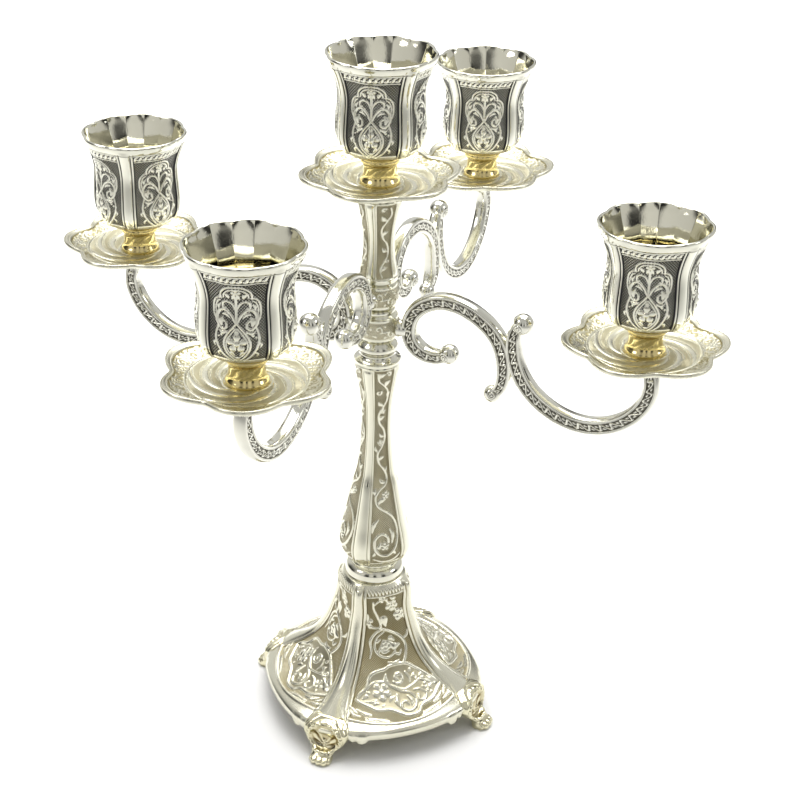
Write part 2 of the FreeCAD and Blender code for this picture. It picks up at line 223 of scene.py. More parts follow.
class Soup:
    """Collects grids into one mesh, with the same point attributes on each."""

    def __init__(self):
        self.v, self.f, self.uv, self.a = [], [], [], {"cav": [], "hat": [], "gold": []}
        self.n = 0

    def add(self, P, wrap_u=True, wrap_v=False, cap0=False, cap1=False, cav=0.0, hat=0.0,
            gold=0.0, U=None, V=None, flip=None):
        nv, nu = P.shape[:2]
        pts = [P.reshape(-1, 3)]
        full = lambda x: np.broadcast_to(np.asarray(x, float), (nv, nu))
        at = {"cav": full(cav), "hat": full(hat), "gold": full(gold)}
        cu = nu if wrap_u else nu - 1
        cv = nv if wrap_v else nv - 1
        j, i = np.meshgrid(np.arange(cv), np.arange(cu), indexing="ij")
        i2, j2 = (i + 1) % nu, (j + 1) % nv
        quads = np.stack([j * nu + i, j * nu + i2, j2 * nu + i2, j2 * nu + i], -1).reshape(-1, 4)
        if U is None:
            U = np.broadcast_to(np.arange(nu + 1) * 0.3, (nv, nu + 1))
        elif U.shape[1] == nu:
            U = np.concatenate([U, 2 * U[:, -1:] - U[:, -2:-1]], 1)
        if V is None:
            V = np.broadcast_to(np.arange(nv)[:, None] * 0.3, (nv, nu))
        VV = np.concatenate([V, V[:, :1]], 1)
        ia, ja, ib, jb = i.ravel(), j.ravel(), i.ravel() + 1, np.minimum(j.ravel() + 1, nv - 1)
        uvq = np.stack([np.stack([U[ja, ia], VV[ja, ia]], -1), np.stack([U[ja, ib], VV[ja, ib]], -1),
                        np.stack([U[jb, ib], VV[jb, ib]], -1), np.stack([U[jb, ia], VV[jb, ia]], -1)], 1)
        tris, uvt = [], []
        extra = {k: [] for k in at}
        base = nv * nu
        for cap, row in ((cap0, 0), (cap1, nv - 1)):
            if cap:
                pts.append(P[row].mean(0)[None])
                for k in at:
                    extra[k].append(at[k][row].mean())
                a = row * nu + np.arange(cu)
                b = row * nu + (np.arange(cu) + 1) % nu
                c = np.full(cu, base)
                tri = np.stack([b, a, c] if row == 0 else [a, b, c], -1)
                tris.append(tri)
                uvt.append(np.zeros((cu, 3, 2)))
                base += 1
        allp = np.vstack(pts)
        # outward faces: the signed volume of a closed grid is positive
        va, vb, vc, vd = (allp[quads[:, k]] for k in range(4))
        vol = (np.einsum("ij,ij->i", va, np.cross(vb, vc)) + np.einsum("ij,ij->i", va, np.cross(vc, vd))).sum()
        for t in tris:
            ta, tb, tc = (allp[t[:, k]] for k in range(3))
            vol += np.einsum("ij,ij->i", ta, np.cross(tb, tc)).sum()
        bad = (vol < 0) if flip is None else flip
        if bad:
            quads, uvq = quads[:, ::-1], uvq[:, ::-1]
            tris = [t[:, ::-1] for t in tris]
            uvt = [t[:, ::-1] for t in uvt]
        self.v.append(allp)
        self.f.append((quads + self.n, [t + self.n for t in tris]))
        self.uv.append((uvq, uvt))
        for k in at:
            self.a[k].append(np.concatenate([at[k].ravel(), extra[k]]))
        self.n += len(allp)
        return self

    def mesh(self, name, mats):
        v = np.vstack(self.v) * MM
        quads = np.vstack([f[0] for f in self.f])
        tl = [t for f in self.f for t in f[1]]
        tris = np.vstack(tl) if tl else np.zeros((0, 3), int)
        uq = np.vstack([u[0] for u in self.uv]).reshape(-1, 2)
        ul = [t for u in self.uv for t in u[1]]
        ut = np.vstack(ul).reshape(-1, 2) if ul else np.zeros((0, 2))
        me = bpy.data.meshes.new(name)
        me.vertices.add(len(v))
        me.vertices.foreach_set("co", v.astype(np.float32).ravel())
        loops = np.concatenate([quads.ravel(), tris.ravel()])
        me.loops.add(len(loops))
        me.loops.foreach_set("vertex_index", loops.astype(np.int32))
        nf = len(quads) + len(tris)
        me.polygons.add(nf)
        start = np.concatenate([np.arange(len(quads)) * 4, len(quads) * 4 + np.arange(len(tris)) * 3])
        me.polygons.foreach_set("loop_start", start.astype(np.int32))
        uv = me.uv_layers.new(name="Pattern")
        uv.data.foreach_set("uv", np.concatenate([uq, ut]).astype(np.float32).ravel())
        me.update(calc_edges=True)
        me.validate()
        me.shade_smooth()
        for k in self.a:
            at = me.attributes.new(k, "FLOAT", "POINT")
            at.data.foreach_set("value", np.concatenate(self.a[k]).astype(np.float32))
        for m in (mats if isinstance(mats, (list, tuple)) else [mats]):
            me.materials.append(m)
        return me


def piece(name, mesh, body, nodes, at=(0, 0, 0), turn=0.0):
    o = bpy.data.objects.new(name, mesh)
    bpy.context.scene.collection.objects.link(o)
    o.matrix_world = Matrix.Translation(Vector(at) * MM) @ Matrix.Rotation(math.radians(turn), 4, "Z")
    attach(o, body)
    if nodes:
        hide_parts(*nodes)
    return o


# ------------------------------------------------------------ materials
def node(nt, kind, at=None, **inputs):
    n = nt.nodes.new(kind)
    for k, v in inputs.items():
        n.inputs[k].default_value = v
    return n


def math_node(nt, op, a, b=None, c=None, clamp=False):
    n = nt.nodes.new("ShaderNodeMath")
    n.operation = op
    n.use_clamp = clamp
    for i, x in enumerate((a, b, c)):
        if x is None:
            continue
        if isinstance(x, (int, float)):
            n.inputs[i].default_value = x
        else:
            nt.links.new(x, n.inputs[i])
    return n.outputs[0]


def mix_colour(nt, fac, a, b):
    n = nt.nodes.new("ShaderNodeMix")
    n.data_type = "RGBA"
    n.clamp_factor = True
    for sock, x in ((n.inputs["Factor"], fac), (n.inputs["A"], a), (n.inputs["B"], b)):
        pass
    fi = [s for s in n.inputs if s.name == "Factor" and s.type == "VALUE"][0]
    ai = [s for s in n.inputs if s.name == "A" and s.type == "RGBA"][0]
    bi = [s for s in n.inputs if s.name == "B" and s.type == "RGBA"][0]
    for sock, x in ((fi, fac), (ai, a), (bi, b)):
        if isinstance(x, (int, float)):
            sock.default_value = x
        elif isinstance(x, (tuple, list)):
            sock.default_value = tuple(x) + ((1.0,) if len(x) == 3 else ())
        else:
            nt.links.new(x, sock)
    return [s for s in n.outputs if s.type == "RGBA"][0]


def attribute(nt, name):
    n = nt.nodes.new("ShaderNodeAttribute")
    n.attribute_type = "GEOMETRY"
    n.attribute_name = name
    return n.outputs["Fac"]


def silver(name, bright, dark, dark_amount=0.9, rough=0.09, rough_dark=0.36, gold=(0.78, 0.62, 0.30),
           gold_amount=0.0, hatch=1.0, pitch=0.95, cav_w=0.45, cut_w=0.85, shade_mottle=0.25, deep=(0.045, 0.045, 0.048), deep_amount=0.85):
    m = bpy.data.materials.new(name)
    m.use_nodes = True
    nt = m.node_tree
    nt.nodes.clear()
    out = nt.nodes.new("ShaderNodeOutputMaterial")
    b = nt.nodes.new("ShaderNodeBsdfPrincipled")
    b.inputs["Metallic"].default_value = 1.0
    nt.links.new(b.outputs[0], out.inputs["Surface"])
    tc = nt.nodes.new("ShaderNodeTexCoord")
    uv = nt.nodes.new("ShaderNodeUVMap")
    uv.uv_map = "Pattern"
    sep = nt.nodes.new("ShaderNodeSeparateXYZ")
    nt.links.new(uv.outputs[0], sep.inputs[0])
    u, v = sep.outputs[0], sep.outputs[1]
    # cav attribute: 0 none, 1 full painted shade, up to 2 for near-black painted reflection streaks
    cav, hat, gld = attribute(nt, "cav"), attribute(nt, "hat"), attribute(nt, "gold")
    # hatch: two sets of fine crossing cuts
    f = 2 * pi / pitch
    a1 = math_node(nt, "MULTIPLY", math_node(nt, "ADD", u, v), f * 0.7071)
    a2 = math_node(nt, "MULTIPLY", math_node(nt, "SUBTRACT", u, v), f * 0.7071)
    s1 = math_node(nt, "ABSOLUTE", math_node(nt, "SINE", math_node(nt, "MULTIPLY", a1, 0.5)))
    s2 = math_node(nt, "ABSOLUTE", math_node(nt, "SINE", math_node(nt, "MULTIPLY", a2, 0.5)))
    cross = math_node(nt, "MINIMUM", s1, s2)
    hmask = math_node(nt, "MULTIPLY", cross, hat)
    # slow tarnish and cloudy polish; the slow noise also mottles the painted shade
    n1 = node(nt, "ShaderNodeTexNoise", Scale=55.0, Detail=5.0, Roughness=0.6)
    nt.links.new(tc.outputs["Object"], n1.inputs["Vector"])
    n2 = node(nt, "ShaderNodeTexNoise", Scale=900.0, Detail=3.0, Roughness=0.65)
    nt.links.new(tc.outputs["Object"], n2.inputs["Vector"])
    cloud = math_node(nt, "SUBTRACT", n1.outputs["Fac"], 0.5)
    fine = math_node(nt, "SUBTRACT", n2.outputs["Fac"], 0.5)
    # painted shade: darker in recesses and in the cuts of the hatch, broken up by noise; the same mask carries painted
    # dark reflection streaks along rib edges and painted shadow lines under rims
    cut = math_node(nt, "MULTIPLY", math_node(nt, "SUBTRACT", hat, math_node(nt, "MULTIPLY", hmask, 1.35)), cut_w * hatch, clamp=True)
    d0 = math_node(nt, "ADD", math_node(nt, "MULTIPLY", cav, cav_w), cut)
    d1 = math_node(nt, "MULTIPLY_ADD", cloud, shade_mottle * 2.2, d0)
    dark_f = math_node(nt, "MULTIPLY", math_node(nt, "MULTIPLY", d1, math_node(nt, "POWER", math_node(nt, "MAXIMUM", cav, 0.001), 0.5)), dark_amount, clamp=True)
    tint = mix_colour(nt, math_node(nt, "MULTIPLY_ADD", cloud, 1.2, 0.4, clamp=True), bright, tuple(min(1, c * k) for c, k in zip(bright, (0.97, 0.955, 0.91))))
    col = mix_colour(nt, dark_f, tint, dark)
    if gold_amount:
        col = mix_colour(nt, math_node(nt, "MULTIPLY", gld, gold_amount), col, gold)
    # near-black painted reflection where the painted-shade mask passes 1: dark streaks along rib edges and painted
    # shadow lines
    deep_f = math_node(nt, "MULTIPLY", math_node(nt, "SUBTRACT", cav, 1.0, clamp=True), deep_amount)
    col = mix_colour(nt, deep_f, col, deep)
    nt.links.new(col, b.inputs["Base Color"])
    r = math_node(nt, "MULTIPLY_ADD", dark_f, rough_dark - rough, rough)
    r = math_node(nt, "MULTIPLY_ADD", cloud, 0.07, r)
    nt.links.new(math_node(nt, "MAXIMUM", r, 0.03), b.inputs["Roughness"])
    bump = node(nt, "ShaderNodeBump", Strength=0.8, Distance=0.00028)
    hsum = math_node(nt, "MULTIPLY_ADD", fine, 0.10, math_node(nt, "MULTIPLY", hmask, hatch))
    nt.links.new(hsum, bump.inputs["Height"])
    nt.links.new(bump.outputs[0], b.inputs["Normal"])
    return m


# in each silver below, the second colour is the painted-shade colour for recesses and rib-edge streaks
WARM = (0.80, 0.795, 0.70)
MAT_CUP = silver("cup_silver", WARM, (0.03, 0.03, 0.032), 1.0, 0.05, 0.30, pitch=1.02, cav_w=0.42, cut_w=1.0, gold=(0.80, 0.66, 0.36), gold_amount=0.55)
MAT_PAN = silver("pan_silver", (0.79, 0.775, 0.65), (0.36, 0.31, 0.14), 0.95, 0.27, 0.45, pitch=0.8, cav_w=0.68, cut_w=0.35, shade_mottle=0.12)
MAT_BASE = silver("base_silver", (0.81, 0.795, 0.67), (0.30, 0.245, 0.11), 0.95, 0.23, 0.42, pitch=0.85, cav_w=0.5, cut_w=0.75)
MAT_COL = silver("column_silver", (0.80, 0.79, 0.67), (0.26, 0.22, 0.11), 0.95, 0.07, 0.36, pitch=0.85, cav_w=0.42, cut_w=0.75)
MAT_ARM = silver("arm_silver", (0.80, 0.795, 0.72), (0.075, 0.07, 0.055), 1.0, 0.09, 0.34, hatch=0.0, cav_w=0.95, shade_mottle=0.12)
MAT_PLAIN = silver("plain_silver", (0.78, 0.77, 0.67), (0.3, 0.26, 0.17), 0.8, 0.06, 0.3, hatch=0.0, cav_w=0.7, shade_mottle=0.1,
                   gold=(0.74, 0.60, 0.25), gold_amount=0.95)
MAT_FOOT = silver("foot_silver", (0.80, 0.77, 0.58), (0.30, 0.22, 0.08), 0.8, 0.05, 0.3, hatch=0.0, cav_w=0.75, shade_mottle=0.1)


def steel(name, col, rough):
    # half-bright painted-shade colour
    m = silver(name, col, tuple(c * 0.5 for c in col), 0.5, rough, rough + 0.1, hatch=0.0, shade_mottle=0.3)
    return m


MAT_STEEL = steel("zinc_steel", (0.62, 0.61, 0.58), 0.28)
MAT_SCREW = steel("screw_plate", (0.85, 0.83, 0.78), 0.14)

# ------------------------------------------------------------ cups
CUP_OUTER = [(15.0, 12.4, 12.4), (17.2, 17.0, 16.8), (20.6, 20.6, 20.1),
             (26.0, 22.6, 21.9), (33.0, 22.8, 22.0), (41.0, 22.3, 21.4),
             (48.0, 22.1, 21.4), (54.0, 23.3, 22.4), (60.0, 25.5, 24.4),
             (64.2, 27.3, 26.2), (66.2, 27.9, 26.8)]


def lobes(th, n, power=0.9):
    return np.abs(np.cos(n * th / 2)) ** power


def cup_panel():
    top = [([(0, 56.5), (2.4, 56.3), (4.6, 55.3), (6.4, 53.5), (7.2, 51.6), (6.9, 50.5)], [0.42, 0.4], 0.46),
           ([(6.9, 50.5), (8.7, 50.2), (10.3, 48.6), (11.0, 46.2), (11.0, 43.6), (10.3, 41.0), (9.0, 39.2)], [0.4, 0.42, 0.36], 0.46),
           ([(0, 55.0), (2.2, 54.8), (4.0, 53.9), (5.3, 52.4), (5.7, 50.8)], 0.3, 0.34),
           ([(7.4, 49.2), (8.9, 48.2), (9.8, 46.0), (9.8, 43.8), (9.2, 41.6)], 0.3, 0.34)]
    mid = [([(0, 50.4), (0, 45.0), (0, 39.0)], [0.55, 0.4], 0.42),
           ([(0.2, 45.2), (2.0, 48.2), (4.4, 49.0), (6.2, 47.9), (6.2, 46.1), (4.9, 45.8)], [0.35, 0.55, 0.4], 0.42),
           leaf(3.2, 50.6, 4.9, 52.4, 0.8), leaf(1.6, 50.4, 1.0, 52.6, 0.8),
           ([(7.6, 47.2), (8.6, 46.2), (8.4, 44.6)], [0.3, 0.6, 0.3], 0.35),
           ([(0.5, 39.6), (2.4, 43.0), (4.9, 45.0), (7.6, 44.6), (9.3, 42.0), (9.0, 38.6), (7.0, 36.1),
             (4.9, 36.7), (4.6, 38.9), (6.0, 40.0)], [0.45, 0.6, 0.75, 0.6, 0.4], 0.5),
           ([(3.0, 41.6), (4.6, 43.0), (6.4, 42.8)], [0.3, 0.7, 0.25], 0.36),
           ([(6.6, 41.2), (7.5, 39.6), (7.0, 38.0)], [0.5, 1.1, 0.6], 0.5),
           ([(4.4, 35.0), (6.6, 34.2), (8.2, 34.8)], [0.4, 0.75, 0.3], 0.4),
           ([(7.2, 33.0)], 0.55, 0.35), ([(8.6, 32.0)], 0.4, 0.3)]
    drop = [([(0, 39.2), (2.2, 36.4), (4.6, 33.2), (5.9, 29.6), (5.3, 25.8), (3.2, 22.4), (0.7, 20.0)], [0.42, 0.46, 0.4], 0.46),
            ([(0.6, 36.6), (2.6, 33.8), (4.5, 30.6), (4.6, 27.0), (2.8, 23.8), (0.6, 21.8)], 0.3, 0.34),
            ([(8.9, 36.6), (9.9, 32.0), (9.0, 27.4), (6.8, 23.4), (3.9, 20.6), (1.4, 19.2)], [0.4, 0.5, 0.4], 0.42),
            ([(9.3, 29.8), (10.8, 28.6), (10.2, 27.0)], [0.35, 0.5, 0.2], 0.32),
            ([(7.6, 24.8), (9.2, 23.6), (9.0, 22.2)], [0.35, 0.5, 0.2], 0.32),
            leaf(1.0, 34.4, 0.2, 36.6, 0.5), ([(2.4, 25.0), (1.2, 23.4)], [0.7, 0.3], 0.34)]
    s = mirror(top + mid + drop)
    s += flower(0, 53.0, 1.9, 5, 0.42, pi / 2)
    s += flower(0, 29.4, 3.9, 5, 0.62, pi / 2, heart=False)
    s += [([(0, 29.4)], 1.25, 0.85)]
    s += [([(0, 33.9), (0, 36.2)], [0.75, 0.2], 0.4), ([(0, 21.6), (0, 19.4)], [0.9, 0.3], 0.45)]
    return s


def cup_mesh():
    nu, nv = 576, 210
    prof = spline(CUP_OUTER, nv)
    th = np.arange(nu) * 2 * pi / nu
    T = np.broadcast_to(th, (nv, nu))
    z = prof[:, 0][:, None]
    L = lobes(th, 8)[None]
    phi = (np.degrees(T) + 45) % 90 - 45            # from the panel's middle; ribs at 45
    rib = 45 - np.abs(phi)
    R = prof[:, 2][:, None] + (prof[:, 1] - prof[:, 2])[:, None] * L
    Z = z + 0.35 * (L - 0.5) * smooth(56, 66, z)
    P = np.stack([R * np.cos(T), R * np.sin(T), Z], -1)
    fade = smooth(18.2, 21.0, z) * (1 - smooth(61.2, 63.2, z))
    # ribs
    x = rib / 9.6
    ribh = 0.95 * np.sqrt(np.clip(1 - (x / 0.66) ** 2, 0, 1)) + 0.42 * np.sqrt(np.clip(1 - ((x - 0.88) / 0.13) ** 2, 0, 1))
    inpanel = smooth(9.8, 10.4, rib) * smooth(19.4, 20.4, z) * (1 - smooth(61.6, 62.2, z))
    X = phi / 35.2 * 13.6
    Y = np.broadcast_to(z, X.shape)
    S = cup_panel()
    for k in range(-6, 7):                          # leaf wave under the lip
        S.append(([(k * 2.5 - 1.3, 58.9), (k * 2.5 - 0.2, 59.3), (k * 2.5 + 0.2, 60.7), (k * 2.5 + 1.5, 61.1)], [0.25, 0.6, 0.5, 0.25], 0.38))
        S.append(([(k * 2.5 + 0.9, 59.2), (k * 2.5 + 1.5, 60.0)], [0.28, 0.15], 0.25))
    S += [([(-15, 58.0), (0, 58.0), (15, 58.0)], 0.3, 0.3), ([(-15, 62.0), (0, 62.0), (15, 62.0)], 0.3, 0.3),
          ([(-15, 20.2), (0, 20.2), (15, 20.2)], 0.34, 0.4)]
    for k in range(-9, 10):                         # small leaves at the foot of the panel
        S.append(([(k * 1.45, 16.6), (k * 1.45, 18.9)], [0.35, 0.6], 0.3))
    h = relief(X, Y, [(p, [1.22 * v for v in np.atleast_1d(w)], 1.12 * hh) for p, w, hh in S])
    ground = inpanel * (1 - smooth(0.05, 0.22, h))
    H = -0.42 * inpanel + h * np.where(inpanel > 0.01, 1.0, smooth(16, 16.8, z) * (1 - smooth(19.2, 20, z)) * (rib > 10))
    H = H + ribh * (rib < 9.9) * smooth(17.0, 20.0, z) * (1 - smooth(62.0, 65.0, z))
    H = H + 0.28 * np.sqrt(np.clip(1 - ((z - 64.4) / 1.9) ** 2, 0, 1))
    # painted shade in the sunk panel ground and the leaf band under the lip; painted dark reflection streaks along both
    # edges of each rib; painted shadow lines under the lip and along the panel's lower border
    cav = np.clip(ground + 1.85 * np.exp(-((x - 0.69) / 0.11) ** 2) * fade + 1.8 * np.exp(-((x - 1.05) / 0.075) ** 2) * fade
                  + 1.3 * np.exp(-((z - 62.7) / 0.38) ** 2) + 0.8 * inpanel * smooth(57.6, 58.4, z) * (1 - smooth(0.05, 0.3, h))
                  + 1.2 * np.exp(-((z - 19.3) / 0.3) ** 2) * inpanel ** 0, 0, 2)
    hat = ground * (z > 20.6) * (z < 57.6)
    Pd = displaced(P, H)
    # direction check: relief must stand outwards
    test = np.hypot(*np.moveaxis(displaced(P, np.ones_like(H))[100, :, :2], -1, 0)).mean()
    if test < np.hypot(P[100, :, 0], P[100, :, 1]).mean():
        Pd = displaced(P, H, out=-1.0)
    # rim and inside
    lip = []
    Lr = lobes(th, 8)
    Rr = 26.8 + 1.1 * Lr
    Zt = 66.2 + 0.35 * (Lr - 0.5)
    for a in np.linspace(15, 165, 7):
        a = math.radians(a)
        lip.append(np.stack([(Rr - 0.75 + 0.8 * math.cos(a)) * np.cos(th), (Rr - 0.75 + 0.8 * math.cos(a)) * np.sin(th), Zt + 0.8 * math.sin(a)], -1))
    inner_prof = spline([(65.8, 26.3, 25.3), (60.0, 24.1, 23.0), (54.0, 21.9, 21.1), (48.0, 20.7, 20.1), (41.0, 20.9, 20.2),
                         (34.0, 21.3, 20.6), (28.0, 21.0, 20.4), (22.6, 19.1, 18.7), (19.2, 16.2, 16.0), (17.2, 12.6, 12.5), (17.0, 8.0, 8.0), (17.0, 2.4, 2.4)], 64)
    zi = inner_prof[:, 0][:, None]
    seg = 2 * pi / 16
    flu = (math.cos(seg / 2) / np.cos((th % seg) - seg / 2))[None]        # flat facets
    flu = (flu - math.cos(seg / 2)) / (1 - math.cos(seg / 2))             # 0 mid facet .. 1 at the corners
    Ri = inner_prof[:, 2][:, None] + (inner_prof[:, 1] - inner_prof[:, 2])[:, None] * Lr[None]
    Ri = Ri + (flu - 0.8) * 0.5 * smooth(18.5, 26.0, zi) * (1 - 0.7 * smooth(62.5, 66, zi))
    Zi = zi + 0.35 * (Lr - 0.5)[None] * smooth(56, 66, zi)
    inside = np.stack([Ri * np.cos(th), Ri * np.sin(th), Zi], -1)
    bottom = np.stack([np.outer([2.4, 7.0, 11.8], np.cos(th)), np.outer([2.4, 7.0, 11.8], np.sin(th)), np.full((3, nu), 15.0)], -1)
    allP = np.concatenate([bottom, Pd, np.stack(lip), inside])
    pad0, pad1 = 3, 7 + len(inside)
    z0 = lambda a: np.concatenate([np.zeros((pad0, nu)), a, np.zeros((pad1, nu))])
    ci = np.zeros((len(inside), nu))
    # painted shade, darker towards the bottom of the inside
    ci += 0.12 * (1 - smooth(17.5, 24, zi))
    cavA = np.concatenate([np.zeros((pad0, nu)), cav, np.zeros((7, nu)), ci])
    goldA = np.concatenate([np.full((pad0, nu), 0.8), (1 - smooth(15.5, 21.5, z)) * np.ones((1, nu)) * 0.8, np.zeros((7, nu)), np.clip(0.15 + 0.7 * (1 - smooth(17.5, 40, zi)) + 0 * flu, 0, 1)])
    Ucol = np.broadcast_to(np.arange(nu + 1) * (2 * pi / nu) * 22.0 * (144.0 / (2 * pi * 22.0)), (len(allP), nu + 1))
    Vcol = np.broadcast_to(allP[:, :, 2].mean(1)[:, None], (len(allP), nu))
    s = Soup()
    s.add(allP, wrap_u=True, wrap_v=True, cav=cavA, hat=z0(hat), gold=goldA, U=Ucol, V=Vcol)
    return s.mesh("cup_bowl", MAT_CUP)


# ------------------------------------------------------------ turned pieces
def turned(name, mat, profile, bore, nu=160, step=0.35, strokes_fn=None, gold=0.0, extra=None):
    """A lathe piece from (height, radius) pairs, with an optional relief function."""
    pr = np.asarray(profile, float)
    length = np.linalg.norm(np.diff(pr, axis=0), axis=1).sum()
    prof = spline(profile, max(12, int(length / step)))
    th = np.arange(nu) * 2 * pi / nu
    z, r = prof[:, 0][:, None], prof[:, 1][:, None]
    arc = np.concatenate([[0], np.cumsum(np.linalg.norm(np.diff(prof, axis=0), axis=1))])[:, None]
    P = np.stack([r * np.cos(th), r * np.sin(th), z + 0 * th], -1)
    cav = np.zeros(P.shape[:2])
    hat = np.zeros(P.shape[:2])
    if strokes_fn:
        H, cav, hat = strokes_fn(np.broadcast_to(th, cav.shape), np.broadcast_to(z, cav.shape), np.broadcast_to(r, cav.shape))
        sgn = 1.0 if np.hypot(*displaced(P, np.ones_like(H))[len(z) // 2, 0, :2]) > np.hypot(*P[len(z) // 2, 0, :2]) else -1.0
        P = displaced(P, H, out=sgn)
    z0, z1 = prof[0, 0], prof[-1, 0]
    ring = lambda rr, zz: np.stack([rr * np.cos(th), rr * np.sin(th), np.full(nu, zz)], -1)[None]
    allP = np.concatenate([ring(bore, z0), ring((bore + prof[0, 1]) / 2, z0), P, ring((bore + prof[-1, 1]) / 2, z1), ring(bore, z1)])
    pad = lambda a: np.concatenate([np.zeros((2, nu)), a, np.zeros((2, nu))])
    side = (np.arange(nu + 1) * 360.0 / nu) % 90 - 45
    rr = np.hypot(allP[:, :, 0], allP[:, :, 1]).mean(1)[:, None]
    U = np.radians(side)[None] * rr
    V = np.broadcast_to(allP[:, :, 2].mean(1)[:, None], (len(allP), nu))
    s = Soup()
    s.add(allP, wrap_u=True, wrap_v=True, cav=pad(cav), hat=pad(hat), gold=gold, U=U, V=V)
    return s.mesh(name, mat)


CUP_FOOT = [(0.0, 10.0), (1.2, 10.2), (2.4, 9.6), (3.4, 9.0), (5.6, 8.5), (8.0, 8.5), (10.2, 9.0),
            (11.6, 9.9), (12.6, 10.1), (13.4, 9.9), (15.0, 10.9)]


